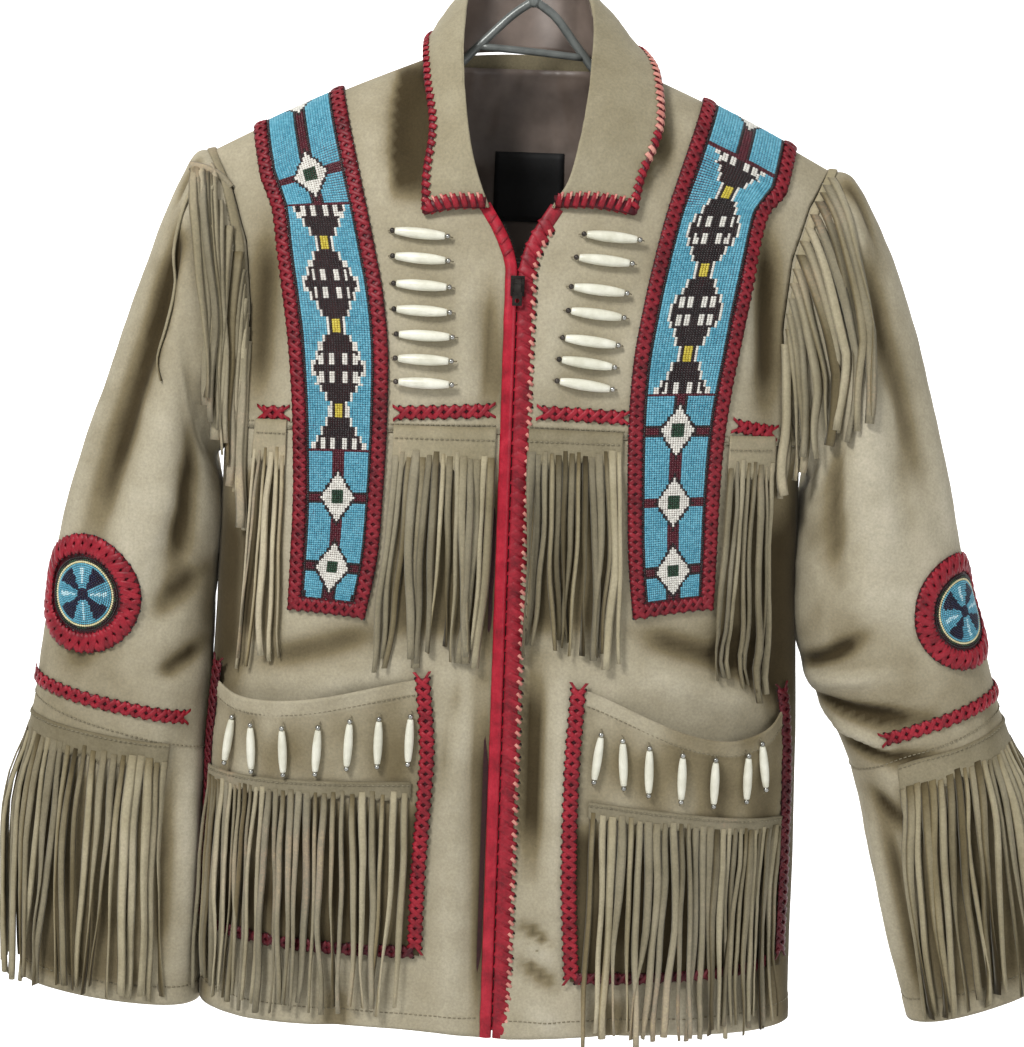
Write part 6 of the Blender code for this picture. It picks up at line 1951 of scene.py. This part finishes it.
for group, side in (("chest", -1), ("chest", 1), ("pocket", -1), ("pocket", 1)):
    m = Mesh()
    names = []
    rows = CHEST_BEADS[side] if group == "chest" else POCKET_BEADS[side]
    for k, row in enumerate(rows):
        names.append("bone_%s_%s_%d" % (group, WORD[side], k + 1))
        if group == "chest":
            x, z, deg = row
            p, n = skin(x, z, -1)
            a = math.radians(deg)
            e0, _ = torso(x - 22 * math.cos(a), z + 22 * math.sin(a), -1)
            e1, _ = torso(x + 22 * math.cos(a), z - 22 * math.sin(a), -1)
            c, along = p + n * 4.7, (e1 - e0).normalized()
            turned(m, c, along, pipe_profile(18.8, 4.1, 2.5), 0)
            # the left end ball is a darker copy of the silver one: painted shade
            turned(m, c, along, ball_profile(-20.8, 2.1, 0.95), 1, 12)
            turned(m, c, along, ball_profile(20.8, 2.1, 0.95), 2, 12)
        else:
            x, z, deg = row
            u = pocket_u(side, x, z)
            p, n = pocket_point(side, u, z, POCKET_OUT + LEATHER)
            up, _ = pocket_point(side, u, z + 12.0, POCKET_OUT + LEATHER)
            dn, _ = pocket_point(side, u, z - 12.0, POCKET_OUT + LEATHER)
            along = ((up - dn).normalized() + Vector((math.tan(math.radians(deg)), 0, 0))).normalized()
            c = p + n * 4.6
            turned(m, c, along, pipe_profile(16.4, 3.4, 2.2), 0)
            turned(m, c, along, ball_profile(-18.4, 2.1, 0.95), 2, 12)
            turned(m, c, along, ball_profile(18.4, 2.1, 0.95), 2, 12)
        # thread through the bead, down into the suede at both ends
        for sgn in (-1, 1):
            half = 22.0 if group == "chest" else 19.6
            a0 = c + along * (sgn * half)
            a1 = c + along * (sgn * (half + 2.6)) - n * 4.0
            line = [(lerp(a0, a1, q), n.cross(along).normalized(), n) for q in (0.0, 0.5, 1.0)]
            ribbon(m, line, 0.9, 0.8, 3, False)
    ob = m.build("bone_pipes_%s_%s" % (group, WORD[side]), [M_BONE, M_SILVER_SHADED, M_SILVER, M_THREAD])
    done(ob, names)

# ---------------------------------------------------------------- hanger
HOOK_R, WIRE, TUBE = 24.0, 2.2, 3.3


def smooth_line(pts, per):
    rows = spline_rows([[p] for p in pts], per)
    return [r[0] for r in rows]


def tube(mesh, line, r, mat=0, sides=16):
    v = []
    n = len(line)
    for i, p in enumerate(line):
        t = (line[min(i + 1, n - 1)] - line[max(i - 1, 0)]).normalized()
        u = Vector((0, 1, 0))
        w = t.cross(u).normalized()
        v += [p + w * r * math.cos(2 * math.pi * k / sides) + u * r * math.sin(2 * math.pi * k / sides) for k in range(sides)]
    f = []
    for i in range(n - 1):
        for k in range(sides):
            k2 = (k + 1) % sides
            f.append((i * sides + k, (i + 1) * sides + k, (i + 1) * sides + k2, i * sides + k2))
    f.append(tuple(range(sides)))
    f.append(tuple((n - 1) * sides + k for k in reversed(range(sides))))
    mesh.add(v, f, mat)


m = Mesh()
HC = Vector((0.0, 0.0, WIRE - HOOK_R))
hook = [HC + Vector((HOOK_R * math.cos(math.radians(a)), 0, HOOK_R * math.sin(math.radians(a)))) for a in range(200, -31, -23)]
hook += [Vector((10.0, 0, -50.0)), Vector((5.5, 0, -60.0)), Vector((5.0, 0, -72.0)), Vector((5.0, 0, -96.0))]
tube(m, smooth_line(hook, 6), WIRE, 1)
LEFT_ARM = ((5.0, -91.0), (-12.0, -103.0), (-38.0, -128.0), (-60.0, -147.0), (-120.0, -175.0), (-175.0, -199.5), (-206.0, -216.0))
RIGHT_ARM = ((5.0, -91.0), (22.0, -103.0), (42.0, -128.0), (62.0, -148.0), (120.0, -175.0), (175.0, -199.5), (206.0, -216.0))
tube(m, smooth_line([Vector((x, 0, z)) for x, z in LEFT_ARM], 6), TUBE)
tube(m, smooth_line([Vector((x, 0, z)) for x, z in RIGHT_ARM], 6), TUBE)
tube(m, smooth_line([Vector((-36.0, 0.1, -126.5)), Vector((4.0, 0.1, -129.0)), Vector((44.0, 0.1, -132.5))], 4), TUBE - 0.5)
turned(m, Vector((5.0, 0, -90.0)), Vector((0, 0, 1)), [(-6.0, 2.0), (-5.5, 4.4), (-2.0, 5.0), (3.0, 4.4), (6.0, 3.0), (6.6, 2.2)], 0)
hanger_ob = m.build("hanger_tube", [M_HANGER, M_METAL])

# ---------------------------------------------------------------- slider and pull keep their solids
for nm in ("zip_slider", "zip_pull"):
    ob = bpy.data.objects[frame["nodes"][nm].name] if not isinstance(frame["nodes"][nm], str) else bpy.data.objects[frame["nodes"][nm]]
    ob.data.materials.clear()
    ob.data.materials.append(M_METAL)

# ---------------------------------------------------------------- what rides on what
for side in (-1, 1):
    w = WORD[side]
    done(body_obs["yoke", side], ["yoke_" + w])
    done(body_obs["front", side], ["front_" + w])
    done(sleeve_obs[side], ["sleeve_" + w])
    done(strip_obs[side], ["bead_strip_" + w])
    done(pocket_obs[side], ["pocket_" + w])
    done(fringe_obs["inner", side], ["chest_fringe_inner_" + w])
    done(fringe_obs["outer", side], ["chest_fringe_outer_" + w])
    done(fringe_obs["pocket", side], ["pocket_fringe_" + w])
    done(fringe_obs["cuff", side], ["sleeve_fringe_" + w])
    done(fringe_obs["shoulder", side], ["shoulder_fringe_" + w])
    done(ros_obs[side], ["rosette_" + w])
    done(bind_obs[side], ["binding_" + w])
done(back_ob, ["back"])
done(collar_ob, ["collar"])
done(lace_collar, [])
done(lining_ob, ["lining_back"])
done(facing_ob, [])
done(label_ob, ["label"])
done(lacing_ob, [])
done(stitch_ob, [])
done(zip_ob, ["zip"])
done(hanger_ob, ["hanger"])

for side in (-1, 1):
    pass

# ---------------------------------------------------------------- stage, light, camera
def stage_piece(name, pts, faces, glow):
    me = bpy.data.meshes.new(name)
    me.from_pydata(pts, [], faces)
    ob = bpy.data.objects.new(name, me)
    bpy.context.scene.collection.objects.link(ob)
    k = Nodes(name + "_white")
    k.colour(k.ramp(k.noise(0.8), ((0.3, srgb(246, 246, 246)), (0.7, srgb(252, 252, 252)))))
    k.set(Roughness=0.9, Emission_Strength=glow)
    k.b.inputs["Emission Color"].default_value = (1.0, 1.0, 1.0, 1.0)
    me.materials.append(k.m)


FLOOR_Z = -1.32
stage_piece("floor_front", [(-6, -6, FLOOR_Z), (6, -6, FLOOR_Z), (6, 0.6, FLOOR_Z), (-6, 0.6, FLOOR_Z)], [(0, 1, 2, 3)], 0.0)
stage_piece("backdrop", [(-6, 0.6, FLOOR_Z), (6, 0.6, FLOOR_Z), (6, 3.0, FLOOR_Z), (-6, 3.0, FLOOR_Z), (6, 3.4, FLOOR_Z + 0.4),
                         (-6, 3.4, FLOOR_Z + 0.4), (6, 3.4, 3.0), (-6, 3.4, 3.0)],
            [(0, 1, 2, 3), (3, 2, 4, 5), (5, 4, 6, 7)], 0.8)

world = bpy.data.worlds.new("studio")
bpy.context.scene.world = world
world.use_nodes = True
world.node_tree.nodes["Background"].inputs["Color"].default_value = (1.0, 1.0, 1.0, 1.0)
world.node_tree.nodes["Background"].inputs["Strength"].default_value = 0.42


def area_light(name, loc, target, size, power, colour=(1, 1, 1)):
    d = bpy.data.lights.new(name, "AREA")
    d.energy = power
    d.size = size
    d.color = colour
    o = bpy.data.objects.new(name, d)
    o.location = loc
    o.rotation_euler = (Vector(target) - Vector(loc)).to_track_quat("-Z", "Y").to_euler()
    bpy.context.scene.collection.objects.link(o)


area_light("key", (-1.05, -1.6, 1.15), (0.0, 0.0, -0.5), 0.6, 48.0, (1.0, 0.99, 0.97))
area_light("fill", (1.5, -1.7, -0.2), (0.0, 0.0, -0.5), 1.2, 8.0, (0.97, 0.98, 1.0))

PITCH, ROLL = math.radians(8.0), math.radians(2.0)
cam_data = bpy.data.cameras.new("camera")
cam_data.sensor_width = 36.0
cam_data.lens = 36.0 * 2200.0 / 1047.0
cam_data.clip_start = 0.05
cam = bpy.data.objects.new("camera", cam_data)
cam.location = (0.002, -1.71394, -0.25236)
fwd = Vector((0.0, math.cos(PITCH), -math.sin(PITCH)))
q = fwd.to_track_quat("-Z", "Y")
cam.rotation_mode = "QUATERNION"
from mathutils import Quaternion
cam.rotation_quaternion = Quaternion(fwd, ROLL * -1.0) @ q
bpy.context.scene.collection.objects.link(cam)
bpy.context.scene.camera = cam
bpy.context.scene.view_settings.view_transform = "Standard"
